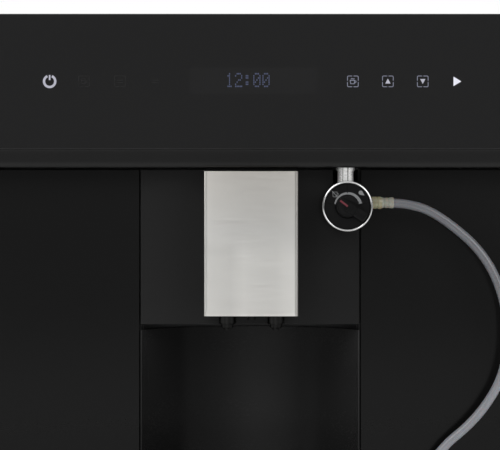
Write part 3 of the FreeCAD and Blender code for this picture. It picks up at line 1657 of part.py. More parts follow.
def make_pump():
    at = ("pump_x", "pump_z")
    can = rod("pump_can", "y", at, "pump_r", ("pump_head + 14", "pump_tail - 14"))
    nose = rod("pump_nose", "y", at, "plug_r", ("pump_head", "pump_head + 14"))
    tail = rod("pump_tail", "y", at, "plug_r", ("pump_tail - 14", "pump_tail"))
    mounts = [
        block(f"pump_mount_{i}", ("pump_x - 14", "pump_x + 14"), (y, f"{y} + 10"), ("pan_floor", "pump_z - pump_r + 4"))
        for i, y in enumerate(("pump_head + 22", "pump_tail - 32"))
    ]
    node("water_pump", join("water_pump_body", can, nose, tail, *mounts))


def make_valve_and_boards():
    body = block("valve_block", ("tube_x - 12", "wall_in"), ("cabinet_y + 14", "cabinet_y + 44"), ("steam_z - 13", "steam_z + 13"))
    coil = rod("valve_coil", "z", ("tube_x - 1", "cabinet_y + 30"), "10", ("steam_z + 13", "steam_z + 44"))
    bore = rod("valve_bore", "y", ("tube_x", "steam_z"), "steam_r - 1.2", ("cabinet_y + 13", "cabinet_y + 30"))
    node("steam_valve", cut("steam_valve_body", join("valve_solid", body, coil), bore))
    face = "wall_out + 6"
    span = ("-board_front", "board_back")
    board = block("power_pcb", (face, f"{face} + board_t"), span, ("board_low", "board_high"))
    posts = [
        rod(f"power_post_{i}", "x", (y, z), "3", ("wall_out", face))
        for i, (y, z) in enumerate(
            (py, pz)
            for py in ("-board_front + 8", "board_back - 8")
            for pz in ("board_low + 8", "board_high - 8")
        )
    ]
    top = f"{face} + board_t"
    parts = [
        rod(f"power_cap_{i}", "x", (y, "board_low + 120"), "12", (top, f"{top} + 30"))
        for i, y in enumerate(("-30", "0"))
    ]
    parts.append(block("power_transformer", (top, f"{top} + 34"), ("40", "90"), ("board_low + 90", "board_low + 140")))
    parts += [
        block(f"power_relay_{i}", (top, f"{top} + 16"), (f"-40 + {i} * 26", f"-22 + {i} * 26"), ("board_low + 20", "board_low + 48"))
        for i in range(4)
    ]
    node("power_board", join("power_board_body", board, *posts, *parts))


def make_mains():
    w, h = "(inlet_w - 0.4)", "(inlet_h - 0.4)"
    case = block(
        "inlet_case", (f"inlet_x - {w}/2", f"inlet_x + {w}/2"), ("rear_in - 20", "body_back"), (f"inlet_z - {h}/2", f"inlet_z + {h}/2")
    )
    flange = block(
        "inlet_flange", (f"inlet_x - {w}/2 - 11", f"inlet_x + {w}/2 + 11"), ("body_back", "body_back + 2"), (f"inlet_z - {h}/2 - 3", f"inlet_z + {h}/2 + 3")
    )
    well = block(
        "inlet_well", (f"inlet_x - {w}/2 + 2", f"inlet_x + {w}/2 - 2"), ("rear_in - 16", "body_back + 3"), (f"inlet_z - {h}/2 + 2", f"inlet_z + {h}/2 - 2")
    )
    pins = [
        block(f"inlet_pin_{i}", (f"{x} - 1", f"{x} + 1"), ("rear_in - 17", "body_back - 2"), (f"{z} - 2", f"{z} + 2"))
        for i, (x, z) in enumerate((("inlet_x - 7", "inlet_z - 1.5"), ("inlet_x", "inlet_z + 2.5"), ("inlet_x + 7", "inlet_z - 1.5")))
    ]
    rw, rh = "(rocker_w + 3.6)", "(rocker_h + 3.6)"
    bezel = block(
        "rocker_case", (f"rocker_x - {rw}/2", f"rocker_x + {rw}/2"), ("rear_in - 16", "body_back"), (f"inlet_z - {rh}/2", f"inlet_z + {rh}/2")
    )
    lip = block(
        "rocker_lip", (f"rocker_x - {rw}/2 - 2", f"rocker_x + {rw}/2 + 2"), ("body_back", "body_back + 1.5"), (f"inlet_z - {rh}/2 - 2", f"inlet_z + {rh}/2 + 2")
    )
    room = block(
        "rocker_room", ("rocker_x - rocker_w/2 - 0.4", "rocker_x + rocker_w/2 + 0.4"), ("rear_in - 13", "body_back + 3"), ("inlet_z - rocker_h/2 - 0.8", "inlet_z + rocker_h/2 + 0.8")
    )
    axle_hole = rod("rocker_axle_hole", "x", ("rear_in - 2", "inlet_z"), "1.56", ("rocker_x - rocker_w/2 - 1.6", "rocker_x + rocker_w/2 + 1.6"))
    bridge = block(
        "inlet_bridge", (f"rocker_x + {rw}/2", f"inlet_x - {w}/2 - 11"), ("body_back", "body_back + 1.5"), (f"inlet_z - {h}/2", f"inlet_z + {h}/2")
    )
    frame = join("inlet_solid", case, flange, bezel, lip, bridge)
    shell = cut("inlet_shell", frame, well, room, axle_hole)
    node("mains_inlet", join("mains_inlet_body", shell, *pins))
    low, high = "inlet_z - rocker_h/2", "inlet_z + rocker_h/2"
    rocker = padded(
        "rocker_profile",
        "YZ_Plane",
        [
            ("rear_in - 6", "inlet_z - 3"),
            ("rear_in - 2", low),
            ("body_back + 1", low),
            ("body_back + 0.6", "inlet_z"),
            ("body_back + 4", f"{high} - 2"),
            ("rear_in + 1", high),
            ("rear_in - 6", "inlet_z + 3"),
        ],
        "rocker_x - rocker_w/2",
        "rocker_x + rocker_w/2",
    )
    axle = rod("rocker_axle", "x", ("rear_in - 2", "inlet_z"), "1.5", ("rocker_x - rocker_w/2 - 1.5", "rocker_x + rocker_w/2 + 1.5"))
    node("mains_rocker", join("mains_rocker_body", rocker, axle))


def write_parts():
    doc.recompute()
    for obj in doc.Objects:
        bad = {"Invalid", "Error"} & set(obj.State)
        if bad:
            raise RuntimeError(f"{obj.Name}: {obj.State}")
    os.makedirs("parts", exist_ok=True)
    for obj in nodes:
        shape = obj.Shape
        if shape.isNull() or not shape.isValid() or not shape.Solids:
            raise RuntimeError(f"{obj.Label} has no valid solid")
        shape.exportStep(f"parts/{obj.Label}.step")
        box = shape.BoundBox
        print(f"{obj.Label:20s} {len(shape.Solids)} solids  x {box.XMin:.1f}..{box.XMax:.1f}  "
              f"y {box.YMin:.1f}..{box.YMax:.1f}  z {box.ZMin:.1f}..{box.ZMax:.1f}")


fill_sheet()
make_base_tray()
make_rails()
make_chassis()
make_covers()
make_front_frame()
make_control_panel()
make_trim()
make_control_boards()
make_side_panels()
make_column()
make_spout_guide()
make_spout_cover()
make_spout_body()
make_nozzles()
make_niche()
make_tray_front()
make_drip_tray()
make_grid()
make_grounds_container()
make_frother_tube()
make_frother_head()
make_dial()
make_connector()
make_park_socket()
tube_along("milk_hose", HOSE_ROUTE, "hose_d/2")
make_pipes()
make_runners()
make_carrier()
make_tank()
make_hopper()
make_grinder()
make_grinder_drive()
make_brew_group()
make_boiler("coffee_boiler", "coffee_boiler_y")
make_boiler("steam_boiler", "steam_boiler_y")
make_pump()
make_valve_and_boards()
make_mains()
write_parts()
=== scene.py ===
"""Looks of a built-in coffee machine, dressed round its packed construction model.

All lengths are metres in the model's own frame: +X to the right, -Y towards the user, +Z up.
Each sub-assembly is a class whose fields are its sizes, and whose build method models its
pieces, gives them their finishes and lets them ride on the body that carries them.
"""
import logging
import math
from collections.abc import Callable, Iterable, Iterator, Sequence
from contextlib import contextmanager
from dataclasses import dataclass, field
from enum import Enum

import bmesh
import bpy
from mathutils import Matrix, Vector


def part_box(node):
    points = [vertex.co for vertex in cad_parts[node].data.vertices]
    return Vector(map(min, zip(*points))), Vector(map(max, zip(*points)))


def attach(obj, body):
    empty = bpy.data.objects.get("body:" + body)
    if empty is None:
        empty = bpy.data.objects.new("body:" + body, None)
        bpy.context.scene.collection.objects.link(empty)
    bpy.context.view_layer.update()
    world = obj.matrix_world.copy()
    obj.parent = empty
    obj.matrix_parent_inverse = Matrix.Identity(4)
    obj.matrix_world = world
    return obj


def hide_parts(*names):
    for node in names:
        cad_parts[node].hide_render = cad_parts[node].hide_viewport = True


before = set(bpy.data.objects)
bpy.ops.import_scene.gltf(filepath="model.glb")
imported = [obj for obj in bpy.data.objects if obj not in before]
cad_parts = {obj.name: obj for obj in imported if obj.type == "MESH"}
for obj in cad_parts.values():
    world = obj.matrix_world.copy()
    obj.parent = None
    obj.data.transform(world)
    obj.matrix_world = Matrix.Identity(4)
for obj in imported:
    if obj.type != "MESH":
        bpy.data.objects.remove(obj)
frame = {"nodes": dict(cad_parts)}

log = logging.getLogger("coffee_machine")

Vec = tuple[float, float, float]
Colour = tuple[float, float, float]
Test = Callable[[Vector, Vector], bool]
Tree = bpy.types.NodeTree
Node = bpy.types.Node
Socket = bpy.types.NodeSocket

MM = 0.001
NEAR = 1e-5  # places closer than this are the same
INK = 0.00003  # how far a print stands proud of what it is printed on
LINE_THICKNESS = 0.12  # thickness of a printed line as a share of its width
WHITE = (1.0, 1.0, 1.0)


class Body(Enum):
    """Bodies of the construction model that pieces of the scene ride on."""

    MACHINE = "machine"
    SPOUT = "spout"
    DIAL = "frother_dial"
    TANK = "tank"
    KNOB = "grind_selector"
    LID = "hopper_lid"
    ROCKER = "rocker"


class Slot(Enum):
    """Material slots of the part's record."""

    GLASS = "black_glass"
    GLOSS = "gloss_black"
    FRONT = "front_black"
    NICHE = "niche_black"
    HOUSING = "housing_plastic"
    SPOUT_STEEL = "spout_steel"
    GRID_STEEL = "grid_steel"
    CHROME = "chrome_trim"
    SHEET = "sheet_steel"
    ALLOY = "frame_alloy"
    MOTOR = "motor_steel"
    BOARD = "circuit_board"
    BRASS = "pipe_brass"
    HOSE = "hose_silicone"
    CREAM = "connector_cream"
    TANK = "clear_tank"


class Facing(Enum):
    """Turns that take a piece modelled along +Z to the way it points."""

    UP = Matrix.Identity(4)
    FRONT = Matrix.Rotation(math.radians(90), 4, "X")
    BACK = Matrix.Rotation(math.radians(-90), 4, "X")
    RIGHT = Matrix.Rotation(math.radians(90), 4, "Y")
    LEFT = Matrix.Rotation(math.radians(-90), 4, "Y")


# ---------------------------------------------------------------- modelling


def deselect_all() -> None:
    """Leaves edit mode and clears the selection."""
    active = bpy.context.view_layer.objects.active
    if active is not None and active.mode != "OBJECT":
        bpy.ops.object.mode_set(mode="OBJECT")
    bpy.ops.object.select_all(action="DESELECT")


def activate(piece: bpy.types.Object) -> None:
    """Selects one object alone and makes it the active one.

    Args:
        piece: the object that the next operator works on.
    """
    deselect_all()
    piece.select_set(True)
    bpy.context.view_layer.objects.active = piece


@contextmanager
def editing(piece: bpy.types.Object, kind: str = "FACE") -> Iterator[None]:
    """Opens a mesh in edit mode with nothing selected.

    Args:
        piece: the mesh object to edit.
        kind: VERT, EDGE or FACE.
    """
    activate(piece)
    bpy.ops.object.mode_set(mode="EDIT")
    bpy.ops.mesh.select_mode(type=kind)
    bpy.ops.mesh.select_all(action="DESELECT")
    yield
    bpy.ops.object.mode_set(mode="OBJECT")


def pick_faces(piece: bpy.types.Object, test: Test) -> None:
    """Selects the faces of the mesh being edited that pass a test.

    Args:
        piece: the mesh object in edit mode.
        test: takes a face's middle and its normal.
    """
    mesh = bmesh.from_edit_mesh(piece.data)
    for face in mesh.faces:
        face.select_set(test(face.calc_center_median(), face.normal))
    mesh.select_flush_mode()
    bmesh.update_edit_mesh(piece.data)


def pick_edges(piece: bpy.types.Object, test: Test) -> int:
    """Selects the edges of the mesh being edited that pass a test.

    Args:
        piece: the mesh object in edit mode.
        test: takes an edge's middle and its direction.

    Returns:
        How many edges are now selected.
    """
    mesh = bmesh.from_edit_mesh(piece.data)
    for edge in mesh.edges:
        ends = [v.co for v in edge.verts]
        along = (ends[1] - ends[0]).normalized()
        edge.select_set(test((ends[0] + ends[1]) / 2, along))
    bmesh.update_edit_mesh(piece.data)
    return sum(edge.select for edge in mesh.edges)


def along_axis(axis: str) -> Test:
    """Returns a test for edges that run along x, y or z."""
    return lambda middle, along: abs(getattr(along, axis)) > 0.9


def add_curve(name: str, points: Sequence[Vec], width: float, rings: int, kind: str = "POLY") -> bpy.types.Object:
    """Draws a round line through or along points.

    Args:
        name: the curve's name.
        points: its points.
        width: its diameter.
        rings: how finely its section is rounded.
        kind: POLY or NURBS.

    Returns:
        The curve object, in the scene.
    """
    curve = bpy.data.curves.new(name, "CURVE")
    curve.dimensions = "3D"
    curve.bevel_depth = width / 2
    curve.bevel_resolution = rings
    curve.use_fill_caps = True
    spline = curve.splines.new(kind)
    spline.points.add(len(points) - 1)
    for spot, point in zip(spline.points, points):
        spot.co = (*point, 1)
    made = bpy.data.objects.new(name, curve)
    bpy.context.scene.collection.objects.link(made)
    return made


def as_mesh(piece: bpy.types.Object) -> bpy.types.Object:
    """Turns a curve object into a mesh.

    Args:
        piece: the object to convert.

    Returns:
        The same object, now a mesh.
    """
    activate(piece)
    bpy.ops.object.convert(target="MESH")
    return bpy.context.view_layer.objects.active


class Piece:
    """A mesh piece, modelled step by step."""

    def __init__(self, made: bpy.types.Object, name: str) -> None:
        """Takes over a mesh object.

        Args:
            made: the mesh object.
            name: its name in the scene.
        """
        made.name = name
        made.data.name = name
        self.obj = made

    @classmethod
    def block(cls, name: str, low: Vec, high: Vec) -> "Piece":
        """Makes a block to carve on.

        Args:
            name: the piece's name.
            low: its lowest corner.
            high: its highest corner.

        Returns:
            The block.
        """
        deselect_all()
        middle = [(a + b) / 2 for a, b in zip(low, high)]
        bpy.ops.mesh.primitive_cube_add(size=1, location=middle)
        made = cls(bpy.context.object, name)
        size = [b - a for a, b in zip(low, high)]
        bpy.ops.transform.resize(value=size, center_override=middle)
        bpy.ops.object.transform_apply(location=True, rotation=True, scale=True)
        return made

    @classmethod
    def prism(cls, name: str, outline: Sequence[Vec], push: Vec) -> "Piece":
        """Pushes a flat outline along a vector.

        Args:
            name: the piece's name.
            outline: the corners of the flat face.
            push: how far and where the face is pushed.

        Returns:
            The closed prism.
        """
        mesh = bpy.data.meshes.new(name)
        mesh.from_pydata(list(outline), [], [range(len(outline))])
        made = bpy.data.objects.new(name, mesh)
        bpy.context.scene.collection.objects.link(made)
        with editing(made):
            bpy.ops.mesh.select_all(action="SELECT")
            bpy.ops.mesh.extrude_region_move(TRANSFORM_OT_translate={"value": push})
            bpy.ops.mesh.select_all(action="SELECT")
            bpy.ops.mesh.normals_make_consistent(inside=False)
        return cls(made, name)

    @classmethod
    def turned(
        cls,
        name: str,
        outline: Sequence[tuple[float, float]],
        at: Vec = (0.0, 0.0, 0.0),
        facing: Facing = Facing.UP,
        sides: int = 64,
        ring: bool = False,
    ) -> "Piece":
        """Turns an outline round an axis, one step of the outline after the other.

        Args:
            name: the piece's name.
            outline: radius and height of each step, along the axis.
            at: where the axis starts.
            facing: which way the axis points.
            sides: how many sides the turned piece has.
            ring: True if the outline closes on itself and leaves a hole.

        Returns:
            The turned piece.
        """
        deselect_all()
        (radius, height), *steps = outline
        bpy.ops.mesh.primitive_circle_add(vertices=sides, radius=radius, location=(0, 0, height))
        made = cls(bpy.context.object, name)
        bpy.ops.object.transform_apply(location=True, rotation=True, scale=True)
        with editing(made.obj, "EDGE"):
            bpy.ops.mesh.select_all(action="SELECT")
            if not ring:
                bpy.ops.mesh.edge_face_add()
            for new_radius, new_height in [*steps, outline[0]] if ring else steps:
                bpy.ops.mesh.extrude_region_move(TRANSFORM_OT_translate={"value": (0, 0, new_height - height)})
                share = new_radius / radius
                bpy.ops.transform.resize(value=(share, share, 1), center_override=(0, 0, new_height))
                radius, height = new_radius, new_height
            bpy.ops.mesh.select_all(action="SELECT")
            bpy.ops.mesh.remove_doubles(threshold=1e-6)
            bpy.ops.mesh.normals_make_consistent(inside=False)
        made.obj.data.transform(Matrix.Translation(at) @ facing.value)
        return made

    @classmethod
    def line(cls, name: str, points: Sequence[Vec], width: float, closed: bool = False) -> "Piece":
        """Draws a printed line that stands a hair proud of a surface facing -Y.

        Args:
            name: the piece's name.
            points: the points of the line.
            width: the line's width.
            closed: True if its end meets its start.

        Returns:
            The line, as a flat mesh.
        """
        made = add_curve(name, points, width, 2)
        made.data.use_fill_caps = not closed
        made.data.splines[0].use_cyclic_u = closed
        drawn = cls(as_mesh(made), name)
        plane = points[0][1]
        flatten = Matrix.Diagonal((1, LINE_THICKNESS, 1, 1))
        drawn.obj.data.transform(shift(y=plane) @ flatten @ shift(y=-plane))
        return drawn

    def copy(self, name: str, matrix: Matrix) -> "Piece":
        """Makes a copy with a mesh of its own.

        Args:
            name: the copy's name.
            matrix: how the copy is turned and moved from this piece.

        Returns:
            The copy.
        """
        made = self.obj.copy()
        made.data = self.obj.data.copy()
        bpy.context.scene.collection.objects.link(made)
        made.data.transform(matrix)
        return Piece(made, name)

    def spread(self, name: str, places: Iterable[Matrix]) -> "Piece":
        """Copies this piece to several places, joins the copies and drops the pattern.

        Args:
            name: the joined piece's name.
            places: how each copy is turned and moved.

        Returns:
            The joined copies.
        """
        copies = [self.copy(f"{name}_{index}", matrix) for index, matrix in enumerate(places)]
        self.drop()
        return copies[0].join(name, *copies[1:])

    def join(self, name: str, *others: "Piece") -> "Piece":
        """Joins other pieces to this one.

        Args:
            name: the joined piece's name.
            *others: the pieces that become part of this one.

        Returns:
            This piece.
        """
        activate(self.obj)
        for other in others:
            other.obj.select_set(True)
        if others:
            bpy.ops.object.join()
        self.obj.name = name
        self.obj.data.name = name
        return self

    def drop(self) -> None:
        """Removes this piece and its mesh."""
        mesh = self.obj.data
        bpy.data.objects.remove(self.obj)
        bpy.data.meshes.remove(mesh)

    def bevel(self, width: float, steps: int, test: Test) -> "Piece":
        """Rounds the edges that pass a test.

        Args:
            width: how far the round reaches from the edge.
            steps: how many faces make the round.
            test: takes an edge's middle and its direction.

        Returns:
            This piece.
        """
        with editing(self.obj, "EDGE"):
            if pick_edges(self.obj, test):
                bpy.ops.mesh.bevel(offset=width, segments=steps, affect="EDGES", profile=0.5)
        return self

    def soften(self, width: float, steps: int = 2, angle: float = 30) -> "Piece":
        """Rounds every edge sharper than an angle.

        Args:
            width: how far each round reaches from its edge.
            steps: how many faces make each round.
            angle: edges turning less than these degrees stay as they are.

        Returns:
            This piece.
        """
        activate(self.obj)
        bpy.ops.object.modifier_add(type="BEVEL")
        made = self.obj.modifiers[-1]
        made.width = width
        made.segments = steps
        made.limit_method = "ANGLE"
        made.angle_limit = math.radians(angle)
        made.harden_normals = False
        bpy.ops.object.modifier_apply(modifier=made.name)
        return self

    def cut(self, *tools: "Piece") -> "Piece":
        """Cuts other pieces out of this one and drops them.

        Args:
            *tools: the pieces whose space is taken out.

        Returns:
            This piece.
        """
        for tool in tools:
            activate(self.obj)
            bpy.ops.object.modifier_add(type="BOOLEAN")
            made = self.obj.modifiers[-1]
            made.operation = "DIFFERENCE"
            made.solver = "EXACT"
            made.object = tool.obj
            bpy.ops.object.modifier_apply(modifier=made.name)
            tool.drop()
        return self

    def dish(self, rim: float, depth: float, test: Test) -> "Piece":
        """Insets the faces that pass a test and sinks what is inside.

        Args:
            rim: width of the border that stays.
            depth: how far the inside sinks, or stands proud if negative.
            test: takes a face's middle and its normal.

        Returns:
            This piece.
        """
        with editing(self.obj):
            pick_faces(self.obj, test)
            bpy.ops.mesh.inset(thickness=rim, depth=0)
            bpy.ops.mesh.inset(thickness=abs(depth) / 3, depth=-depth)
        return self

    def smooth(self, angle: float = 35) -> "Piece":
        """Shades the piece smooth, except across edges sharper than an angle.

        Args:
            angle: degrees of turn from which an edge stays sharp.

        Returns:
            This piece.
        """
        activate(self.obj)
        bpy.ops.object.shade_smooth_by_angle(angle=math.radians(angle))
        return self

    def dress(self, body: Body, finish: "Finish", *stands_for: str) -> "Piece":
        """Gives the piece its finish and the body it rides on.

        Args:
            body: the body that carries it.
            finish: its finish.
            *stands_for: construction nodes that it is shown in place of.

        Returns:
            This piece.
        """
        self.obj.data.materials.clear()
        self.obj.data.materials.append(finish.material())
        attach(self.obj, body.value)
        if stands_for:
            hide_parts(*stands_for)
        return self


def shift(x: float = 0.0, y: float = 0.0, z: float = 0.0) -> Matrix:
    """Returns a move by x, y and z."""
    return Matrix.Translation((x, y, z))


# ---------------------------------------------------------------- node trees


def feed(node: Node, inputs: dict) -> None:
    """Sets or links inputs of a node.

    Args:
        node: the node.
        inputs: value or output socket for each input, by its name or number.
    """
    for key, value in inputs.items():
        if isinstance(value, Socket):
            node.id_data.links.new(value, node.inputs[key])
        else:
            node.inputs[key].default_value = value


def add_node(tree: Tree, kind: str, inputs: dict | None = None, **settings: object) -> Node:
    """Adds a shader node, sets it up and links what it is given.

    Args:
        tree: the node tree.
        kind: the node's type name.
        inputs: value or output socket for each input, by its name or number.
        **settings: the node's own properties.

    Returns:
        The node.
    """
    made = tree.nodes.new(kind)
    for key, value in settings.items():
        setattr(made, key, value)
    feed(made, inputs or {})
    return made


def fill_ramp(ramp: bpy.types.ColorRamp, stops: Sequence[tuple[float, Colour]]) -> None:
    """Gives a ramp that still has its first two marks its stops.

    Args:
        ramp: the ramp.
        stops: place and colour of each stop, in order.
    """
    for mark, (place, colour) in ((ramp.elements[0], stops[0]), (ramp.elements[1], stops[-1])):
        mark.position = place
        mark.color = (*colour, 1)
    for place, colour in stops[1:-1]:
        ramp.elements.new(place).color = (*colour, 1)


def add_mix(tree: Tree, share: object, first: object, second: object, **settings: object) -> Socket:
    """Mixes two numbers, or two colours with data_type="RGBA".

    Args:
        tree: the node tree.
        share: how much of the second goes in.
        first: the first value or socket.
        second: the second value or socket.
        **settings: the mix node's own properties.

    Returns:
        The output socket of the mix.
    """
    kind = settings.setdefault("data_type", "FLOAT")
    at = {"FLOAT": (2, 3, 0), "RGBA": (6, 7, 2)}[kind]
    made = add_node(tree, "ShaderNodeMix", {0: share, at[0]: first, at[1]: second}, **settings)
    return made.outputs[at[2]]


def start_group(name: str, inputs: dict[str, tuple[str, float | None]], outputs: dict[str, str]) -> tuple:
    """Starts a node group with its sockets.

    Args:
        name: the group's name.
        inputs: socket type and starting value of each input.
        outputs: socket type of each output.

    Returns:
        The tree, the node with its inputs and the node with its outputs.
    """
    tree = bpy.data.node_groups.new(name, "ShaderNodeTree")
    for key, (kind, value) in inputs.items():
        socket = tree.interface.new_socket(key, in_out="INPUT", socket_type=kind)
        if value is not None:
            socket.default_value = value
    for key, kind in outputs.items():
        tree.interface.new_socket(key, in_out="OUTPUT", socket_type=kind)
    return tree, tree.nodes.new("NodeGroupInput"), tree.nodes.new("NodeGroupOutput")


FLOAT, VECTOR = "NodeSocketFloat", "NodeSocketVector"


def grain_group() -> Tree:
    """Makes the fine moulded or cast grain: a mask and a bumped normal.

    Returns:
        The group's tree, made once.
    """
    known = bpy.data.node_groups.get("surface_grain")
    if known:
        return known
    tree, given, out = start_group(
        "surface_grain",
        {"Vector": (VECTOR, None), "Scale": (FLOAT, 900.0), "Depth": (FLOAT, 0.1)},
        {"Mask": FLOAT, "Normal": VECTOR},
    )
    fine = add_node(
        tree, "ShaderNodeTexNoise", {"Vector": given.outputs["Vector"], "Scale": given.outputs["Scale"], "Detail": 3.0}
    )
    wide = add_node(tree, "ShaderNodeTexNoise", {"Vector": given.outputs["Vector"], "Scale": 14.0, "Detail": 2.0})
    mask = add_mix(tree, 0.5, fine.outputs["Fac"], wide.outputs["Fac"])
    bump = add_node(
        tree,
        "ShaderNodeBump",
        {"Strength": given.outputs["Depth"], "Distance": 0.0002, "Height": fine.outputs["Fac"]},
    )
    feed(out, {"Mask": mask, "Normal": bump.outputs["Normal"]})
    return tree


def brush_group() -> Tree:
    """Makes brushed or drawn lines, long along the vector's X: a mask and a bumped normal.

    Returns:
        The group's tree, made once.
    """
    known = bpy.data.node_groups.get("brush_lines")
    if known:
        return known
    tree, given, out = start_group(
        "brush_lines", {"Vector": (VECTOR, None), "Depth": (FLOAT, 0.1)}, {"Mask": FLOAT, "Normal": VECTOR}
    )
    noises = []
    for scale in ((36, 1700, 1700), (24, 4200, 4200)):
        lines = add_node(tree, "ShaderNodeMapping", {"Vector": given.outputs["Vector"], "Scale": scale})
        noise = {"Vector": lines.outputs["Vector"], "Scale": 1.0, "Detail": 2.0}
        noises.append(add_node(tree, "ShaderNodeTexNoise", noise).outputs["Fac"])
    mask = add_mix(tree, 0.35, *noises)
    bump = add_node(
        tree, "ShaderNodeBump", {"Strength": given.outputs["Depth"], "Distance": 0.0001, "Height": mask}
    )
    feed(out, {"Mask": mask, "Normal": bump.outputs["Normal"]})
    return tree


def smudge_group() -> Tree:
    """Makes soft uneven wiping marks on a gloss surface, as a mask.

    Returns:
        The group's tree, made once.
    """
    known = bpy.data.node_groups.get("wiping_marks")
    if known:
        return known
    tree, given, out = start_group("wiping_marks", {"Vector": (VECTOR, None)}, {"Mask": FLOAT})
    stretched = add_node(tree, "ShaderNodeMapping", {"Vector": given.outputs["Vector"], "Scale": (5, 9, 16)})
    wide = add_node(tree, "ShaderNodeTexNoise", {"Vector": stretched.outputs["Vector"], "Scale": 1.0, "Detail": 4.0})
    fine = add_node(tree, "ShaderNodeTexNoise", {"Vector": stretched.outputs["Vector"], "Scale": 60.0, "Detail": 2.0})
    mask = add_node(
        tree, "ShaderNodeMath", {0: wide.outputs["Fac"], 1: fine.outputs["Fac"]}, operation="MULTIPLY", use_clamp=True
    )
    feed(out, {"Mask": mask.outputs[0]})
    return tree


# ---------------------------------------------------------------- finishes


@dataclass(frozen=True)
class Run:
    """A soft change of tone along one axis of the machine: painted light and shade on most finishes, the real two-tone
    colour of the hose connector.

    It can fade in along an axis: from nothing at the fade's first place to full at its second.
    """

    axis: str
    start: float
    end: float
    stops: tuple[tuple[float, Colour], ...]
    fade: tuple[str, float, float] | None = None


def greys(*stops: tuple[float, float]) -> tuple[tuple[float, Colour], ...]:
    """Returns neutral tones for a run, from pairs of share and level."""
    return tuple((share, (level, level, level)) for share, level in stops)


@dataclass(frozen=True)
class Finish:
    """A procedural finish; each kind adds its own surface detail."""

    name: str
    slot: Slot
    colour: Colour
    roughness: float = 0.4
    metallic: float = 0.0
    specular: float = 0.5
    # runs multiply the colour: mostly painted light and shade, on the hose connector its real two-tone colour
    runs: tuple[Run, ...] = ()

    def material(self) -> bpy.types.Material:
        """Makes the material of this finish, unless it is there already.

        Returns:
            The material.
        """
        known = bpy.data.materials.get(self.name)
        if known:
            return known
        made = bpy.data.materials.new(self.name)
        made.use_nodes = True
        made.diffuse_color = (*self.colour, 1)
        tree = made.node_tree
        shader = tree.nodes["Principled BSDF"]
        feed(
            shader,
            {
                "Base Color": made.diffuse_color,
                "Roughness": self.roughness,
                "Metallic": self.metallic,
                "Specular IOR Level": self.specular,
            },
        )
        place = add_node(tree, "ShaderNodeTexCoord").outputs["Object"]
        self.detail(tree, shader, place)
        for run in self.runs:
            self.shade(tree, shader, place, run)
        return made

    def detail(self, tree: Tree, shader: Node, place: Socket) -> None:
        """Adds this finish's surface detail.

        Args:
            tree: the material's node tree.
            shader: its Principled node.
            place: the object's own coordinates.
        """
        raise NotImplementedError

    def shade(self, tree: Tree, shader: Node, place: Socket, run: Run) -> None:
        """Multiplies the colour by a run of tones, which paints light and shade or gives a real tint.

        Args:
            tree: the material's node tree.
            shader: its Principled node.
            place: the object's own coordinates.
            run: the axis and the tones along it.
        """
        toned = shader.inputs["Base Color"].links[0].from_socket
        parts = add_node(tree, "ShaderNodeSeparateXYZ", {"Vector": place})
        along = {"Value": parts.outputs[run.axis], "From Min": run.start, "From Max": run.end}
        ramp = add_node(tree, "ShaderNodeValToRGB", {"Fac": add_node(tree, "ShaderNodeMapRange", along).outputs[0]})
        fill_ramp(ramp.color_ramp, run.stops)
        strength: float | Socket = 1.0
        if run.fade:
            axis, nothing, full = run.fade
            spread = {"Value": parts.outputs[axis], "From Min": nothing, "From Max": full}
            strength = add_node(tree, "ShaderNodeMapRange", spread).outputs[0]
        tones = {"data_type": "RGBA", "blend_type": "MULTIPLY"}
        feed(shader, {"Base Color": add_mix(tree, strength, toned, ramp.outputs["Color"], **tones)})

    def vary(self, tree: Tree, shader: Node, mask: Socket, tone: float, rough: float) -> None:
        """Lets a mask vary the colour and the roughness.

        Args:
            tree: the material's node tree.
            shader: its Principled node.
            mask: the mask, from 0 to 1.
            tone: share by which the colour varies each way.
            rough: amount by which the roughness varies each way.
        """
        low, high = [(*(c * share for c in self.colour), 1) for share in (1 - tone, 1 + tone)]
        spread = add_node(
            tree,
            "ShaderNodeMapRange",
            {
                "Value": mask,
                "From Min": 0.3,
                "From Max": 0.7,
                "To Min": max(self.roughness - rough, 0.02),
                "To Max": self.roughness + rough,
            },
        )
        feed(
            shader,
            {"Base Color": add_mix(tree, mask, low, high, data_type="RGBA"), "Roughness": spread.outputs[0]},
        )


@dataclass(frozen=True)
class Gloss(Finish):
    """Polished glass or lacquered plastic with faint wiping marks."""

    tone: float = 0.15
    wiped: float = 0.4

    def detail(self, tree: Tree, shader: Node, place: Socket) -> None:
        """See Finish.detail."""
        marks = add_node(tree, "ShaderNodeGroup", node_tree=smudge_group())
        feed(marks, {"Vector": place})
        self.vary(tree, shader, marks.outputs["Mask"], self.tone, self.roughness * self.wiped)


@dataclass(frozen=True)
class Moulded(Finish):
    """Moulded plastic, print or cast metal with a fine grain."""

    grain: float = 900.0
    depth: float = 0.15
    tone: float = 0.12
    rough: float = 0.06

    def detail(self, tree: Tree, shader: Node, place: Socket) -> None:
        """See Finish.detail."""
        grain = add_node(tree, "ShaderNodeGroup", node_tree=grain_group())
        feed(grain, {"Vector": place, "Scale": self.grain, "Depth": self.depth})
        self.vary(tree, shader, grain.outputs["Mask"], self.tone, self.rough)
        feed(shader, {"Normal": grain.outputs["Normal"]})


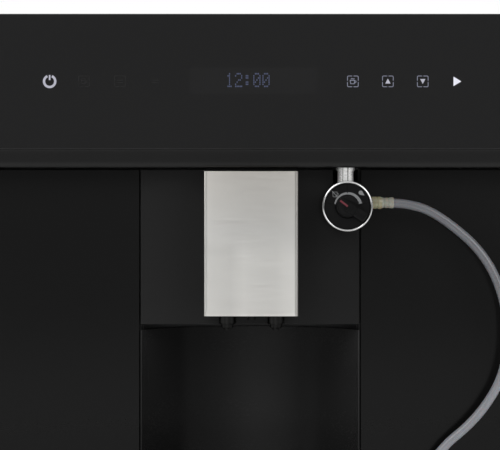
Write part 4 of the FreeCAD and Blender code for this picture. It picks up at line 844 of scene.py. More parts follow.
@dataclass(frozen=True)
class Milky(Moulded):
    """Milky plastic or silicone that scatters light under its surface, with painted light in its colour: lighter on its
    underside and towards its outline, darker on top.
    """

    milk: float = 0.2
    reach: float = 0.003
    # rim and rim_blend: painted highlight, the colour lighter towards the outline as seen
    rim: float = 1.5
    rim_blend: float = 0.35
    # over and under: painted light, the colour darker where the surface faces up and lighter where it faces down
    over: float = 0.6
    under: float = 1.35
    skin: float = 0.25
    skin_roughness: float = 0.2

    def detail(self, tree: Tree, shader: Node, place: Socket) -> None:
        """See Finish.detail."""
        super().detail(tree, shader, place)
        toned = shader.inputs["Base Color"].links[0].from_socket
        # Painted light: darker colour where the surface faces up, lighter where it faces down.
        normal = add_node(tree, "ShaderNodeTexCoord").outputs["Normal"]
        upward = add_node(tree, "ShaderNodeSeparateXYZ", {"Vector": normal}).outputs["Z"]
        underside_painted_light = add_node(
            tree,
            "ShaderNodeMapRange",
            {"Value": upward, "From Min": -1.0, "From Max": 1.0, "To Min": self.under, "To Max": self.over},
        )
        lit = add_mix(tree, 1.0, toned, underside_painted_light.outputs[0], data_type="RGBA", blend_type="MULTIPLY")
        # Painted highlight: the colour grows lighter towards the outline as seen.
        edge = add_node(tree, "ShaderNodeLayerWeight", {"Blend": self.rim_blend})
        rim = (*(min(c * self.rim, 1.0) for c in self.colour), 1)
        feed(
            shader,
            {
                "Base Color": add_mix(tree, edge.outputs["Facing"], lit, rim, data_type="RGBA"),
                "Subsurface Weight": self.milk,
                "Subsurface Scale": self.reach,
                "Coat Weight": self.skin,
                "Coat Roughness": self.skin_roughness,
            },
        )


@dataclass(frozen=True)
class Brushed(Finish):
    """Metal with lines brushed or drawn along one axis."""

    turn: Vec = (0.0, 0.0, 0.0)
    depth: float = 0.25
    stretch: float = 0.6
    tone: float = 0.08
    rough: float = 0.07

    def detail(self, tree: Tree, shader: Node, place: Socket) -> None:
        """See Finish.detail."""
        turned = add_node(tree, "ShaderNodeMapping", {"Vector": place, "Rotation": self.turn})
        lines = add_node(tree, "ShaderNodeGroup", node_tree=brush_group())
        feed(lines, {"Vector": turned.outputs["Vector"], "Depth": self.depth})
        self.vary(tree, shader, lines.outputs["Mask"], self.tone, self.rough)
        tangent = add_node(tree, "ShaderNodeTangent", direction_type="RADIAL", axis="Z")
        feed(
            shader,
            {
                "Normal": lines.outputs["Normal"],
                "Anisotropic": self.stretch,
                "Anisotropic Rotation": 0.25,
                "Tangent": tangent.outputs["Tangent"],
            },
        )


@dataclass(frozen=True)
class Galvanised(Finish):
    """Zinc-coated sheet with its faint crystal flakes."""

    flake: float = 110.0
    cloud: float = 6.0
    tone: float = 0.09
    rough: float = 0.06

    def detail(self, tree: Tree, shader: Node, place: Socket) -> None:
        """See Finish.detail."""
        flakes = add_node(tree, "ShaderNodeTexVoronoi", {"Vector": place, "Scale": self.flake})
        tones = add_node(tree, "ShaderNodeSeparateColor", {"Color": flakes.outputs["Color"]})
        wide = add_node(tree, "ShaderNodeTexNoise", {"Vector": place, "Scale": self.cloud, "Detail": 3.0})
        mask = add_mix(tree, 0.4, tones.outputs["Red"], wide.outputs["Fac"])
        self.vary(tree, shader, mask, self.tone, self.rough)


@dataclass(frozen=True)
class Laminate(Finish):
    """Circuit board: green laminate with copper tracks under the lacquer."""

    track: Colour = (0.05, 0.22, 0.09)
    shade_share: float = 0.8

    def detail(self, tree: Tree, shader: Node, place: Socket) -> None:
        """See Finish.detail."""
        look = {
            "Vector": place,
            "Scale": 60.0,
            "Mortar Size": 0.03,
            "Brick Width": 0.9,
            "Color1": (*self.colour, 1),
            "Color2": (*(c * self.shade_share for c in self.colour), 1),
            "Mortar": (*self.track, 1),
        }
        feed(shader, {"Base Color": add_node(tree, "ShaderNodeTexBrick", look).outputs["Color"]})


@dataclass(frozen=True)
class Clear(Finish):
    """Clear moulded plastic with a slight tint."""

    pass_through: float = 0.96
    bending: float = 1.49
    tone: float = 0.04
    rough: float = 0.015

    def detail(self, tree: Tree, shader: Node, place: Socket) -> None:
        """See Finish.detail."""
        marks = add_node(tree, "ShaderNodeGroup", node_tree=smudge_group())
        feed(marks, {"Vector": place})
        self.vary(tree, shader, marks.outputs["Mask"], self.tone, self.rough)
        feed(shader, {"Transmission Weight": self.pass_through, "IOR": self.bending})


@dataclass(frozen=True)
class Lit(Finish):
    """Print that glows evenly from behind, softer where the light guide is thin."""

    power: float = 1.0
    unlit: Colour = (0.005, 0.005, 0.005)

    def detail(self, tree: Tree, shader: Node, place: Socket) -> None:
        """See Finish.detail."""
        cloud = add_node(tree, "ShaderNodeTexNoise", {"Vector": place, "Scale": 220.0, "Detail": 1.0})
        low, high = [(*(c * share for c in self.colour), 1) for share in (0.8, 1.1)]
        glow = add_mix(tree, cloud.outputs["Fac"], low, high, data_type="RGBA")
        feed(shader, {"Emission Color": glow, "Base Color": (*self.unlit, 1), "Emission Strength": self.power})


# Painted light on the spout hood's steel colour: lighter towards the bottom, painted edge light and shade, and painted
# reflection columns.
HOOD_PAINTED_LIGHT = (
    # Painted light: the hood lighter towards its bottom, warmer and darker towards its top.
    Run(
        "Z",
        0.2157,
        0.3306,
        (
            (0.0, WHITE),
            (0.01, WHITE),
            (0.016, (0.915, 0.917, 0.92)),
            (0.40, (0.89, 0.893, 0.897)),
            (0.58, (0.76, 0.764, 0.77)),
            (1.0, (0.69, 0.678, 0.664)),
        ),
    ),
    # Painted shade: a dark painted line just inside the left edge and painted shade towards the right edge.
    Run("X", -0.0364, 0.0384, greys((0.0, 1.0), (0.018, 0.9), (0.04, 1.0), (0.955, 1.0), (0.975, 0.6), (1.0, 0.35))),
    # Painted reflections: two soft light columns down the lower part of the hood.
    Run(
        "X",
        -0.0364,
        0.0384,
        greys(
            (0.0, 0.86),
            (0.28, 0.88),
            (0.36, 0.96),
            (0.42, 1.0),
            (0.5, 0.985),
            (0.76, 0.97),
            (0.84, 1.0),
            (0.95, 1.0),
            (1.0, 0.96),
        ),
        fade=("Z", 0.281, 0.267),
    ),
)
# Painted reflections on the frother tube: two dark painted reflection stripes down its front and painted shade on its
# flanks.
TUBE_PAINTED_REFLECTIONS = (
    Run(
        "X",
        0.0704,
        0.0832,
        greys(
            (0.0, 0.5),
            (0.08, 0.95),
            (0.28, 1.0),
            (0.3, 0.4),
            (0.33, 0.4),
            (0.36, 1.0),
            (0.59, 1.0),
            (0.61, 0.03),
            (0.65, 0.03),
            (0.68, 1.0),
            (0.92, 1.0),
            (1.0, 0.5),
        ),
    ),
)
# Painted highlights: light and dark stripes across one coffee nozzle, copied to the other.
NOZZLE_PAINTED_HIGHLIGHTS = (
    (0.0, 0.3),
    (0.015, 0.13),
    (0.032, 0.13),
    (0.052, 0.55),
    (0.067, 0.96),
    (0.096, 0.46),
    (0.126, 1.0),
    (0.155, 0.41),
    (0.178, 0.35),
    (0.2, 0.62),
    (0.218, 0.2),
    (0.24, 0.11),
    (0.262, 0.2),
)
# Painted light on the nozzles: the painted highlight stripes and a painted highlight on the hot-water outlet between
# them.
NOZZLE_PAINTED_LIGHT = (
    Run(
        "X",
        -0.0252,
        0.0278,
        greys(
            *NOZZLE_PAINTED_HIGHLIGHTS,
            (0.44, 0.2),
            (0.5, 0.5),
            (0.56, 0.2),
            *[(0.732 + share, level) for share, level in NOZZLE_PAINTED_HIGHLIGHTS],
        ),
    ),
    # Darker towards the nozzle tips.
    Run("Z", 0.2037, 0.2157, greys((0.0, 0.5), (0.4, 0.6), (0.46, 1.0), (1.0, 1.0))),
)
# Painted shade: the front panels darker towards their bottom, against the light the floor throws up.
PANEL_PAINTED_SHADE = (Run("Z", 0.0, 0.333, greys((0.0, 0.4), (0.33, 0.53), (0.75, 0.9), (1.0, 1.0))),)
# Painted shade: the column panel darker towards its right side.
COLUMN_PAINTED_SHADE = (Run("X", -0.0885, 0.0885, greys((0.0, 1.0), (1.0, 0.78))),)
# Painted light in the cup niche: painted reflection bands and painted shade across its back wall.
NICHE_PAINTED_LIGHT = (
    Run(
        "X",
        -0.0885,
        0.0885,
        greys(
            (0.0, 0.6),
            (0.08, 0.48),
            (0.14, 0.39),
            (0.19, 0.22),
            (0.27, 0.19),
            (0.35, 0.28),
            (0.41, 0.43),
            (0.47, 0.62),
            (0.52, 0.71),
            (0.575, 0.71),
            (0.63, 0.63),
            (0.685, 0.5),
            (0.74, 0.32),
            (0.79, 0.39),
            (0.85, 0.61),
            (0.905, 0.71),
            (0.96, 0.81),
            (1.0, 0.9),
        ),
    ),
    # Painted shade: the niche darker towards its bottom.
    Run("Z", 0.057, 0.203, greys((0.0, 0.4), (0.366, 0.53), (0.53, 0.76), (0.758, 0.83), (0.917, 1.0), (1.0, 1.0))),
)
# Painted light: the milk hose darker higher up and lighter towards its lower end.
HOSE_PAINTED_LIGHT = (Run("Z", 0.1, 0.31, greys((0.0, 1.0), (0.28, 0.95), (0.67, 0.55), (1.0, 0.5))),)
CONNECTOR_RUNS = (
    Run("X", 0.0917, 0.1152, ((0.0, (0.96, 0.92, 0.66)), (0.58, (0.96, 0.92, 0.7)), (0.62, WHITE), (1.0, WHITE))),
)

GLASS = Gloss("black_glass_finish", Slot.GLASS, (0.0052, 0.0052, 0.0054), 0.05, specular=0.5)
WINDOW = Gloss("display_window_finish", Slot.GLASS, (0.0073, 0.0073, 0.0076), 0.06, specular=0.5)
TRIM = Gloss("lower_trim_finish", Slot.GLASS, (0.0116, 0.0116, 0.0116), 0.3, specular=0.18)
NOZZLE = Gloss("nozzle_black_finish", Slot.GLOSS, (0.03, 0.03, 0.029), 0.14, specular=0.08, runs=NOZZLE_PAINTED_LIGHT)
GLOSS_BLACK = Gloss("gloss_black_finish", Slot.GLOSS, (0.0008, 0.0008, 0.0008), 0.1, specular=0.16)
FRONT = Gloss("front_black_finish", Slot.FRONT, (0.0072, 0.0072, 0.0072), 0.24, specular=0.14, runs=PANEL_PAINTED_SHADE)
COLUMN = Gloss("column_black_finish", Slot.FRONT, (0.0153, 0.0153, 0.0153), 0.24, specular=0.14, runs=COLUMN_PAINTED_SHADE)
NICHE = Gloss("niche_black_finish", Slot.NICHE, (0.0332, 0.0332, 0.0332), 0.42, specular=0.11, runs=NICHE_PAINTED_LIGHT)
HOUSING = Moulded("housing_plastic_finish", Slot.HOUSING, (0.014, 0.014, 0.014), 0.5)
DARK_GREY = Moulded("grey_plastic_finish", Slot.HOUSING, (0.05, 0.05, 0.052), 0.45)
PALE_PRINT = Moulded("pale_print_finish", Slot.HOUSING, (0.55, 0.55, 0.55), 0.5, grain=2500.0)
MARK_GREY = Moulded("grey_print_finish", Slot.HOUSING, (0.175, 0.178, 0.183), 0.45, grain=2500.0)
MARK_RED = Moulded("red_print_finish", Slot.HOUSING, (0.115, 0.011, 0.02), 0.4, grain=2500.0)
# Black for the seam lines on the frother's face and for the painted shadow beside the dial's lever.
SEAM_AND_SHADOW_BLACK = Moulded("black_seam_and_painted_shadow_finish", Slot.GLOSS, (0.0006, 0.0006, 0.0006), 0.5, specular=0.1, depth=0.02)
FACE = Moulded("dial_face_finish", Slot.GLOSS, (0.0041, 0.0041, 0.0043), 0.38, specular=0.1, depth=0.05)
SPOUT_STEEL = Brushed(
    "spout_steel_finish",
    Slot.SPOUT_STEEL,
    (0.85, 0.836, 0.8),
    0.42,
    metallic=1.0,
    depth=0.08,
    tone=0.035,
    runs=HOOD_PAINTED_LIGHT,
)
TUBE_STEEL = Brushed(
    "tube_steel_finish",
    Slot.CHROME,
    (0.95, 0.95, 0.94),
    0.3,
    metallic=0.6,
    depth=0.0,
    stretch=0.0,
    tone=0.0,
    runs=TUBE_PAINTED_REFLECTIONS,
)
GRID_STEEL = Brushed("grid_steel_finish", Slot.GRID_STEEL, (0.5, 0.5, 0.49), 0.3, metallic=1.0)
CHROME = Brushed(
    "chrome_finish", Slot.CHROME, (0.62, 0.62, 0.62), 0.16, metallic=1.0, depth=0.02, stretch=0.0, tone=0.03
)
SHEET = Galvanised("sheet_steel_finish", Slot.SHEET, (0.42, 0.428, 0.436), 0.5, metallic=0.55)
RAIL = Brushed("rail_finish", Slot.SHEET, (0.6, 0.6, 0.61), 0.32, metallic=1.0, turn=(0, 0, math.pi / 2))
ALLOY = Moulded("frame_alloy_finish", Slot.ALLOY, (0.5, 0.5, 0.51), 0.45, metallic=0.85, grain=600.0, depth=0.3)
MOTOR = Brushed("motor_steel_finish", Slot.MOTOR, (0.42, 0.42, 0.43), 0.35, metallic=1.0)
SCREW = Moulded("screw_finish", Slot.MOTOR, (0.42, 0.42, 0.43), 0.3, metallic=1.0, depth=0.05)
BOARD = Laminate("circuit_board_finish", Slot.BOARD, (0.012, 0.09, 0.03), 0.35)
BRASS = Moulded("pipe_brass_finish", Slot.BRASS, (0.65, 0.46, 0.2), 0.3, metallic=1.0, depth=0.1)
# Hose and connector colours carry painted light: darker on top, lighter underneath and towards the outline.
HOSE = Milky("hose_silicone_finish", Slot.HOSE, (0.225, 0.23, 0.252), 0.3, depth=0.03, tone=0.06, runs=HOSE_PAINTED_LIGHT)
CREAM = Milky(
    "connector_cream_finish",
    Slot.CREAM,
    (0.218, 0.214, 0.176),
    0.35,
    depth=0.05,
    over=0.42,
    under=1.7,
    runs=CONNECTOR_RUNS,
)
CLEAR = Clear("clear_tank_finish", Slot.TANK, (0.86, 0.91, 0.93), 0.04)
WHITE_GLOW = Lit("white_glow_finish", Slot.GLASS, (0.84, 0.85, 0.95), 0.5)
SOFT_GLOW = Lit("soft_glow_finish", Slot.GLASS, (0.46, 0.46, 0.54), 0.5)
FRAME_GLOW = Lit("frame_glow_finish", Slot.GLASS, (0.2, 0.21, 0.28), 0.5)
FAINT_GLOW = Lit("faint_glow_finish", Slot.GLASS, (0.0016, 0.0016, 0.0018), 0.5, specular=0.28)
BLUE_GLOW = Lit("blue_glow_finish", Slot.GLASS, (0.046, 0.06, 0.125), 0.5)

NODE_FINISHES: dict[Finish, tuple[str, ...]] = {
    GLASS: ("control_glass",),
    TRIM: ("lower_trim",),
    HOUSING: (
        "control_housing",
        "spout_body",
        "niche_roof",
        "drip_tray",
        "grounds_container",
        "tank_runners",
        "tank_carrier",
        "tank_socket",
        "bean_hopper",
        "grinder_housing",
        "mains_inlet",
        "park_socket",
        "front_frame",
        "infuser_carriage",
        "spout_guide_frame",
    ),
    DARK_GREY: ("grind_knob", "bean_lid", "water_pump", "infuser_frame", "tray_float"),
    FRONT: ("right_panel", "tank_drawer_front", "tray_front"),
    COLUMN: ("column_panel",),
    NICHE: ("niche_liner",),
    GLOSS_BLACK: ("spout_nozzles", "frother_body", "mains_rocker"),
    FACE: ("frother_face", "dial_knob"),
    SPOUT_STEEL: ("spout_cover",),
    GRID_STEEL: ("drip_grid",),
    CHROME: ("frother_ring",),
    TUBE_STEEL: ("frother_tube",),
    SHEET: ("base_tray", "chassis_pan", "inner_chassis", "side_covers", "rear_cover", "top_cover"),
    RAIL: ("outer_rails", "inner_rails", "guide_rods"),
    MOTOR: ("grinder_motor", "lower_burr", "upper_burr", "motor_pinion", "lead_screw", "steam_valve"),
    ALLOY: ("coffee_boiler", "steam_boiler"),
    BOARD: ("control_boards", "power_board"),
    BRASS: ("water_pipes",),
    HOSE: ("milk_hose",),
    CREAM: ("hose_connector",),
    CLEAR: ("water_tank", "tank_flap"),
}


def dress_nodes() -> None:
    """Gives every construction node its finish.

    Raises:
        KeyError: if a node of the model has no finish.
    """
    finish_of = {node: finish for finish, nodes in NODE_FINISHES.items() for node in nodes}
    for name, obj in frame["nodes"].items():
        obj.data.materials.clear()
        obj.data.materials.append(finish_of[name].material())
    log.info("%d construction nodes dressed", len(frame["nodes"]))


# ---------------------------------------------------------------- studio


@dataclass(frozen=True)
class Lamp:
    """A soft square lamp."""

    name: str
    at: Vec
    aim: Vec
    size: float
    power: float

    def build(self) -> None:
        """Hangs the lamp and points it."""
        light = bpy.data.lights.new(self.name, "AREA")
        light.size = self.size
        light.energy = self.power
        made = bpy.data.objects.new(self.name, light)
        made.location = self.at
        made.rotation_euler = (Vector(self.aim) - Vector(self.at)).to_track_quat("-Z", "Y").to_euler()
        bpy.context.scene.collection.objects.link(made)


@dataclass(frozen=True)
class Studio:
    """Camera, pale floor, lamps and surroundings."""

    camera_at: Vec = (0.0, -1.798, 0.288)
    lens: float = 144.0
    sensor: float = 36.0
    floor_half: float = 4.0
    floor_tones: tuple[float, float] = (0.84, 0.87)
    floor_roughness: float = 0.8
    floor_fade: tuple[float, float] = (0.55, 1.7)
    room_light: float = 0.55
    front_glow: float = 0.32
    side_glow: float = 0.1
    lamps: tuple[Lamp, ...] = (
        Lamp("key_lamp", (-1.5, -2.0, 2.1), (0.0, -0.1, 0.25), 1.8, 38.0),
        Lamp("fill_lamp", (1.6, -2.0, 1.4), (0.0, -0.1, 0.25), 1.4, 20.0),
        Lamp("back_lamp", (0.6, 1.8, 1.8), (0.0, 0.1, 0.25), 1.6, 17.0),
    )

    def build(self) -> None:
        """Sets up everything round the part."""
        self.camera()
        self.floor()
        self.surroundings()
        for lamp in self.lamps:
            lamp.build()
        bpy.context.scene.view_settings.view_transform = "Standard"

    def camera(self) -> None:
        """Places the camera level, straight in front of the machine."""
        camera = bpy.data.cameras.new("camera")
        camera.lens = self.lens
        camera.sensor_fit = "HORIZONTAL"
        camera.sensor_width = self.sensor
        camera.clip_start = 0.05
        made = bpy.data.objects.new("camera", camera)
        made.location = self.camera_at
        made.rotation_euler = (math.radians(90), 0, 0)
        bpy.context.scene.collection.objects.link(made)
        bpy.context.scene.camera = made

    def floor(self) -> None:
        """Lays the floor that the machine's shelf stands for."""
        deselect_all()
        bpy.ops.mesh.primitive_plane_add(size=2 * self.floor_half)
        made = Piece(bpy.context.object, "floor")
        with editing(made.obj):
            bpy.ops.mesh.select_all(action="SELECT")
            bpy.ops.mesh.subdivide(number_cuts=3)
        material = bpy.data.materials.new("floor_finish")
        material.use_nodes = True
        tree = material.node_tree
        shader = tree.nodes["Principled BSDF"]
        place = add_node(tree, "ShaderNodeTexCoord").outputs["Object"]
        cloud = add_node(tree, "ShaderNodeTexNoise", {"Vector": place, "Scale": 3.0})
        low, high = [(level, level, level, 1) for level in self.floor_tones]
        tone = add_mix(tree, cloud.outputs["Fac"], low, high, data_type="RGBA")
        feed(shader, {"Base Color": tone, "Roughness": self.floor_roughness})
        self.fade_floor(tree, shader, place)
        made.obj.data.materials.append(material)

    def fade_floor(self, tree: Tree, shader: Node, place: Socket) -> None:
        """Lets the floor run into the white background, where the camera sees it far from the machine.

        Args:
            tree: the floor's node tree.
            shader: its Principled node.
            place: the floor's own coordinates.
        """
        away = add_node(tree, "ShaderNodeVectorMath", {0: place}, operation="LENGTH")
        near, far = self.floor_fade
        share = add_node(
            tree,
            "ShaderNodeMapRange",
            {"Value": away.outputs["Value"], "From Min": near, "From Max": far},
            interpolation_type="SMOOTHSTEP",
        )
        ray = add_node(tree, "ShaderNodeLightPath").outputs["Is Camera Ray"]
        seen = add_node(tree, "ShaderNodeMath", {0: share.outputs[0], 1: ray}, operation="MULTIPLY")
        white = add_node(tree, "ShaderNodeEmission", {"Color": (*WHITE, 1), "Strength": 1.0})
        both = {0: seen.outputs[0], 1: shader.outputs[0], 2: white.outputs[0]}
        mixed = add_node(tree, "ShaderNodeMixShader", both).outputs[0]
        feed(tree.nodes["Material Output"], {"Surface": mixed})

    def surroundings(self) -> None:
        """Makes the room: white where it is seen, dimmer behind the camera where gloss shows it."""
        world = bpy.data.worlds.new("room")
        world.use_nodes = True
        bpy.context.scene.world = world
        tree = world.node_tree
        way = add_node(tree, "ShaderNodeTexCoord").outputs["Generated"]
        parts = add_node(tree, "ShaderNodeSeparateXYZ", {"Vector": way})
        towards = add_node(tree, "ShaderNodeMath", {0: parts.outputs["Y"], 1: -1.0}, operation="MULTIPLY")
        sweep = add_node(tree, "ShaderNodeValToRGB", {"Fac": towards.outputs[0]})
        sweep.color_ramp.interpolation = "EASE"
        side, front = self.side_glow, self.front_glow
        fill_ramp(sweep.color_ramp, greys((0.0, 1.0), (0.25, side * 3), (0.7, side), (0.93, front), (1.0, front)))
        above = {"Value": parts.outputs["Z"], "From Min": 0.25, "From Max": 0.8}
        height = add_node(tree, "ShaderNodeMapRange", above).outputs[0]
        glow = add_mix(tree, height, sweep.outputs["Color"], 1.0)
        ray = add_node(tree, "ShaderNodeLightPath").outputs
        direct = {0: ray["Is Camera Ray"], 1: ray["Is Transmission Ray"]}
        seen = add_node(tree, "ShaderNodeMath", direct, operation="MAXIMUM").outputs[0]
        soft = add_mix(tree, ray["Is Glossy Ray"], self.room_light, glow)
        feed(tree.nodes["Background"], {"Color": (*WHITE, 1), "Strength": add_mix(tree, seen, soft, 1.0)})


# ---------------------------------------------------------------- milk hose


@dataclass(frozen=True)
class MilkHose:
    """The silicone milk hose, from the frother's connector down to its parking socket."""

    bore: float = 0.0073
    length: float = 0.324
    route: tuple[Vec, ...] = (
        (0.1070, -0.1940, 0.3058),
        (0.1290, -0.1940, 0.3058),
        (0.1550, -0.1948, 0.2940),
        (0.1900, -0.1978, 0.2630),
        (0.2064, -0.2010, 0.2194),
        (0.2050, -0.2020, 0.1720),
        (0.1833, -0.1990, 0.1347),
        (0.1510, -0.1946, 0.1074),
        (0.1400, -0.1940, 0.0838),
        (0.1400, -0.1940, 0.0580),
    )

    def build(self) -> None:
        """Runs the hose on one smooth line."""
        hose = add_curve("milk_hose_line", self.route, self.bore, 6, "NURBS")
        hose.data.resolution_u = 16
        spline = hose.data.splines[0]
        spline.order_u = 3
        spline.use_endpoint_u = True
        hose.data.materials.append(HOSE.material())
        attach(hose, Body.MACHINE.value)
        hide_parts("milk_hose")


# ---------------------------------------------------------------- control panel


DIGITS: dict[str, tuple[str, ...]] = {
    "0": (".###.", "#...#", "#..##", "#.#.#", "##..#", "#...#", ".###."),
    "1": ("..#..", ".##..", "..#..", "..#..", "..#..", "..#..", ".###."),
    "2": (".###.", "#...#", "....#", "..##.", ".#...", "#....", "#####"),
    ":": (".....", ".##..", ".##..", ".....", ".##..", ".##..", "....."),
}


@dataclass(frozen=True)
class Touch:
    """A touch symbol's place on the glass, its finish and that of its square frame."""

    x: float
    kind: str
    finish: Finish
    frame: Finish | None = None


@dataclass(frozen=True)
class ControlPanel:
    """The glass with its display, clock and touch symbols, and the moulded lip under it."""

    glass_y: float = -0.198
    symbol_z: float = 0.4029
    window: tuple[float, float, float, float] = (-0.0485, 0.3927, 0.0543, 0.4141)
    clock_left: float = -0.0188
    clock_top: float = 0.4090
    dot_pitch: tuple[float, float] = (0.001216, 0.00168)
    dot_share: float = 0.37
    frame_half: float = 4.3
    frame_gap: float = 0.55
    frame_corner: float = 0.6
    symbols: tuple[Touch, ...] = (
        Touch(-0.1603, "power", SOFT_GLOW),
        Touch(-0.1328, "cup", FAINT_GLOW, FAINT_GLOW),
        Touch(-0.104, "bar", FAINT_GLOW, FAINT_GLOW),
        Touch(-0.076, "bar", FAINT_GLOW),
        Touch(0.0823, "cup", FRAME_GLOW, FRAME_GLOW),
        Touch(0.1103, "up", SOFT_GLOW, FRAME_GLOW),
        Touch(0.1382, "down", SOFT_GLOW, FRAME_GLOW),
        Touch(0.1658, "play", WHITE_GLOW),
    )

    def build(self) -> None:
        """Builds the display, the symbols and the lip."""
        self.display()
        self.clock()
        for index, symbol in enumerate(self.symbols):
            self.symbol(index, symbol)
        self.lip()

    def display(self) -> None:
        """Lays the smoked window over the display."""
        left, low, right, high = self.window
        pane = Piece.block("display_window", (left, self.glass_y - 2 * INK, low), (right, self.glass_y, high))
        pane.bevel(0.0012, 3, along_axis("y"))
        pane.smooth().dress(Body.MACHINE, WINDOW)

    def clock(self) -> None:
        """Sets twelve o'clock in rows of lit dots, all copies of one dot."""
        step_x, step_z = self.dot_pitch
        top = self.glass_y - 4 * INK
        half_x, half_z = step_x * self.dot_share, step_z * self.dot_share
        dot = Piece.block("clock_dot", (-half_x, top, -half_z), (half_x, top + 2 * INK, half_z))
        dot.bevel(step_x * 0.2, 2, along_axis("y"))
        places = []
        for place, digit in enumerate("12:00"):
            for row, line in enumerate(DIGITS[digit]):
                for column, mark in enumerate(line):
                    if mark == "#":
                        x = self.clock_left + (place * 6 + column) * step_x
                        places.append(shift(x, 0, self.clock_top - row * step_z))
        dot.spread("clock_digits", places).dress(Body.MACHINE, BLUE_GLOW)

    def symbol(self, index: int, touch: Touch) -> None:
        """Prints one touch symbol.

        Args:
            index: its number, for its name.
            touch: what it is and where.
        """
        drawn = getattr(self, f"draw_{touch.kind}")(f"touch_{index}", touch.x)
        drawn.dress(Body.MACHINE, touch.finish)
        if touch.frame:
            self.box(f"touch_frame_{index}", touch.x).dress(Body.MACHINE, touch.frame)

    def at(self, x: float, *spots: tuple[float, float]) -> list[Vec]:
        """Returns points given in millimetres from a symbol's middle."""
        return [(x + dx * MM, self.glass_y - INK, self.symbol_z + dz * MM) for dx, dz in spots]

    def draw_power(self, name: str, x: float) -> Piece:
        """Draws a ring open at the top with a bar in the gap.

        Args:
            name: the name of what is drawn.
            x: the symbol's middle.

        Returns:
            The printed symbol.
        """
        turns = [math.radians(113 + 314 * step / 32) for step in range(33)]
        ring = Piece.line(name, self.at(x, *[(4.5 * math.cos(a), 4.5 * math.sin(a)) for a in turns]), 0.0019)
        bar = Piece.line(f"{name}_bar", self.at(x, (0, 5.1), (0, 1.0)), 0.0013)
        return ring.join(name, bar)

    def draw_bar(self, name: str, x: float) -> Piece:
        """Draws two unlit bars.

        Args:
            name: the name of what is drawn.
            x: the symbol's middle.

        Returns:
            The printed symbol.
        """
        lower = Piece.line(name, self.at(x, (-2.6, -0.9), (2.6, -0.9)), 0.0005)
        upper = Piece.line(f"{name}_top", self.at(x, (-2.6, 0.9), (2.6, 0.9)), 0.0005)
        return lower.join(name, upper)

    def box(self, name: str, x: float) -> Piece:
        """Draws a square frame with a small break in the middle of each side.

        Args:
            name: the name of what is drawn.
            x: the symbol's middle.

        Returns:
            The printed symbol.
        """
        half, gap, inner = self.frame_half, self.frame_gap, self.frame_half - self.frame_corner
        bracket = [Vector(spot) for spot in ((gap, half), (inner, half), (half, inner), (half, gap))]
        sides = []
        for quarter in range(4):
            turn = Matrix.Rotation(math.radians(90 * quarter), 2)
            spots = [turn @ spot for spot in bracket]
            sides.append(Piece.line(f"{name}_{quarter}", self.at(x, *spots), 0.0006))
        return sides[0].join(name, *sides[1:])

    def fill(self, name: str, x: float, *spots: tuple[float, float]) -> Piece:
        """Prints a filled shape."""
        outline = [(px, self.glass_y, pz) for px, _, pz in self.at(x, *spots)]
        return Piece.prism(name, outline, (0, -2 * INK, 0))

    def draw_up(self, name: str, x: float) -> Piece:
        """Prints a triangle pointing up."""
        return self.fill(name, x, (-2.1, -1.7), (2.1, -1.7), (0, 2.2))

    def draw_down(self, name: str, x: float) -> Piece:
        """Prints a triangle pointing down."""
        return self.fill(name, x, (-2.1, 1.9), (0, -2.0), (2.1, 1.9))

    def draw_play(self, name: str, x: float) -> Piece:
        """Prints a triangle pointing right."""
        return self.fill(name, x, (-3.0, -3.8), (3.3, 0), (-3.0, 3.8))

    def draw_cup(self, name: str, x: float) -> Piece:
        """Draws a cup under a wisp of steam.

        Args:
            name: the name of what is drawn.
            x: the symbol's middle.

        Returns:
            The printed symbol.
        """
        bowl = Piece.line(name, self.at(x, (-2.2, 0.8), (-1.7, -1.9), (1.1, -1.9), (1.5, 0.8)), 0.0007)
        brim = Piece.line(f"{name}_brim", self.at(x, (-2.4, 0.9), (1.7, 0.9)), 0.0007)
        ear = Piece.line(f"{name}_ear", self.at(x, (1.4, 0.5), (2.6, 0.2), (2.4, -0.9), (1.2, -1.2)), 0.0006)
        steam = Piece.line(f"{name}_steam", self.at(x, (-1.6, 1.9), (-0.6, 2.4), (0.4, 1.9), (1.3, 2.4)), 0.0006)
        return bowl.join(name, brim, ear, steam)

    def lip(self) -> None:
        """Moulds the lip under the glass: a bright top edge, a hollow and a rounded foot."""
        low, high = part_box("lower_trim")
        front, back = low.y, high.y
        outline = [
            (back, high.z),
            (front + 0.0004, high.z),
            (front + 0.0001, high.z - 0.0003),
            (front + 0.00022, high.z - 0.0012),
            (front + 0.00024, high.z - 0.0058),
            (front, high.z - 0.0072),
            (front, low.z + 0.0018),
            (front + 0.0004, low.z + 0.0006),
            (front + 0.0012, low.z),
            (back, low.z),
        ]
        bar = Piece.prism("panel_lip", [(low.x, y, z) for y, z in outline], (high.x - low.x, 0, 0))
        bar.smooth(50).dress(Body.MACHINE, TRIM, "lower_trim")


# ---------------------------------------------------------------- coffee spout


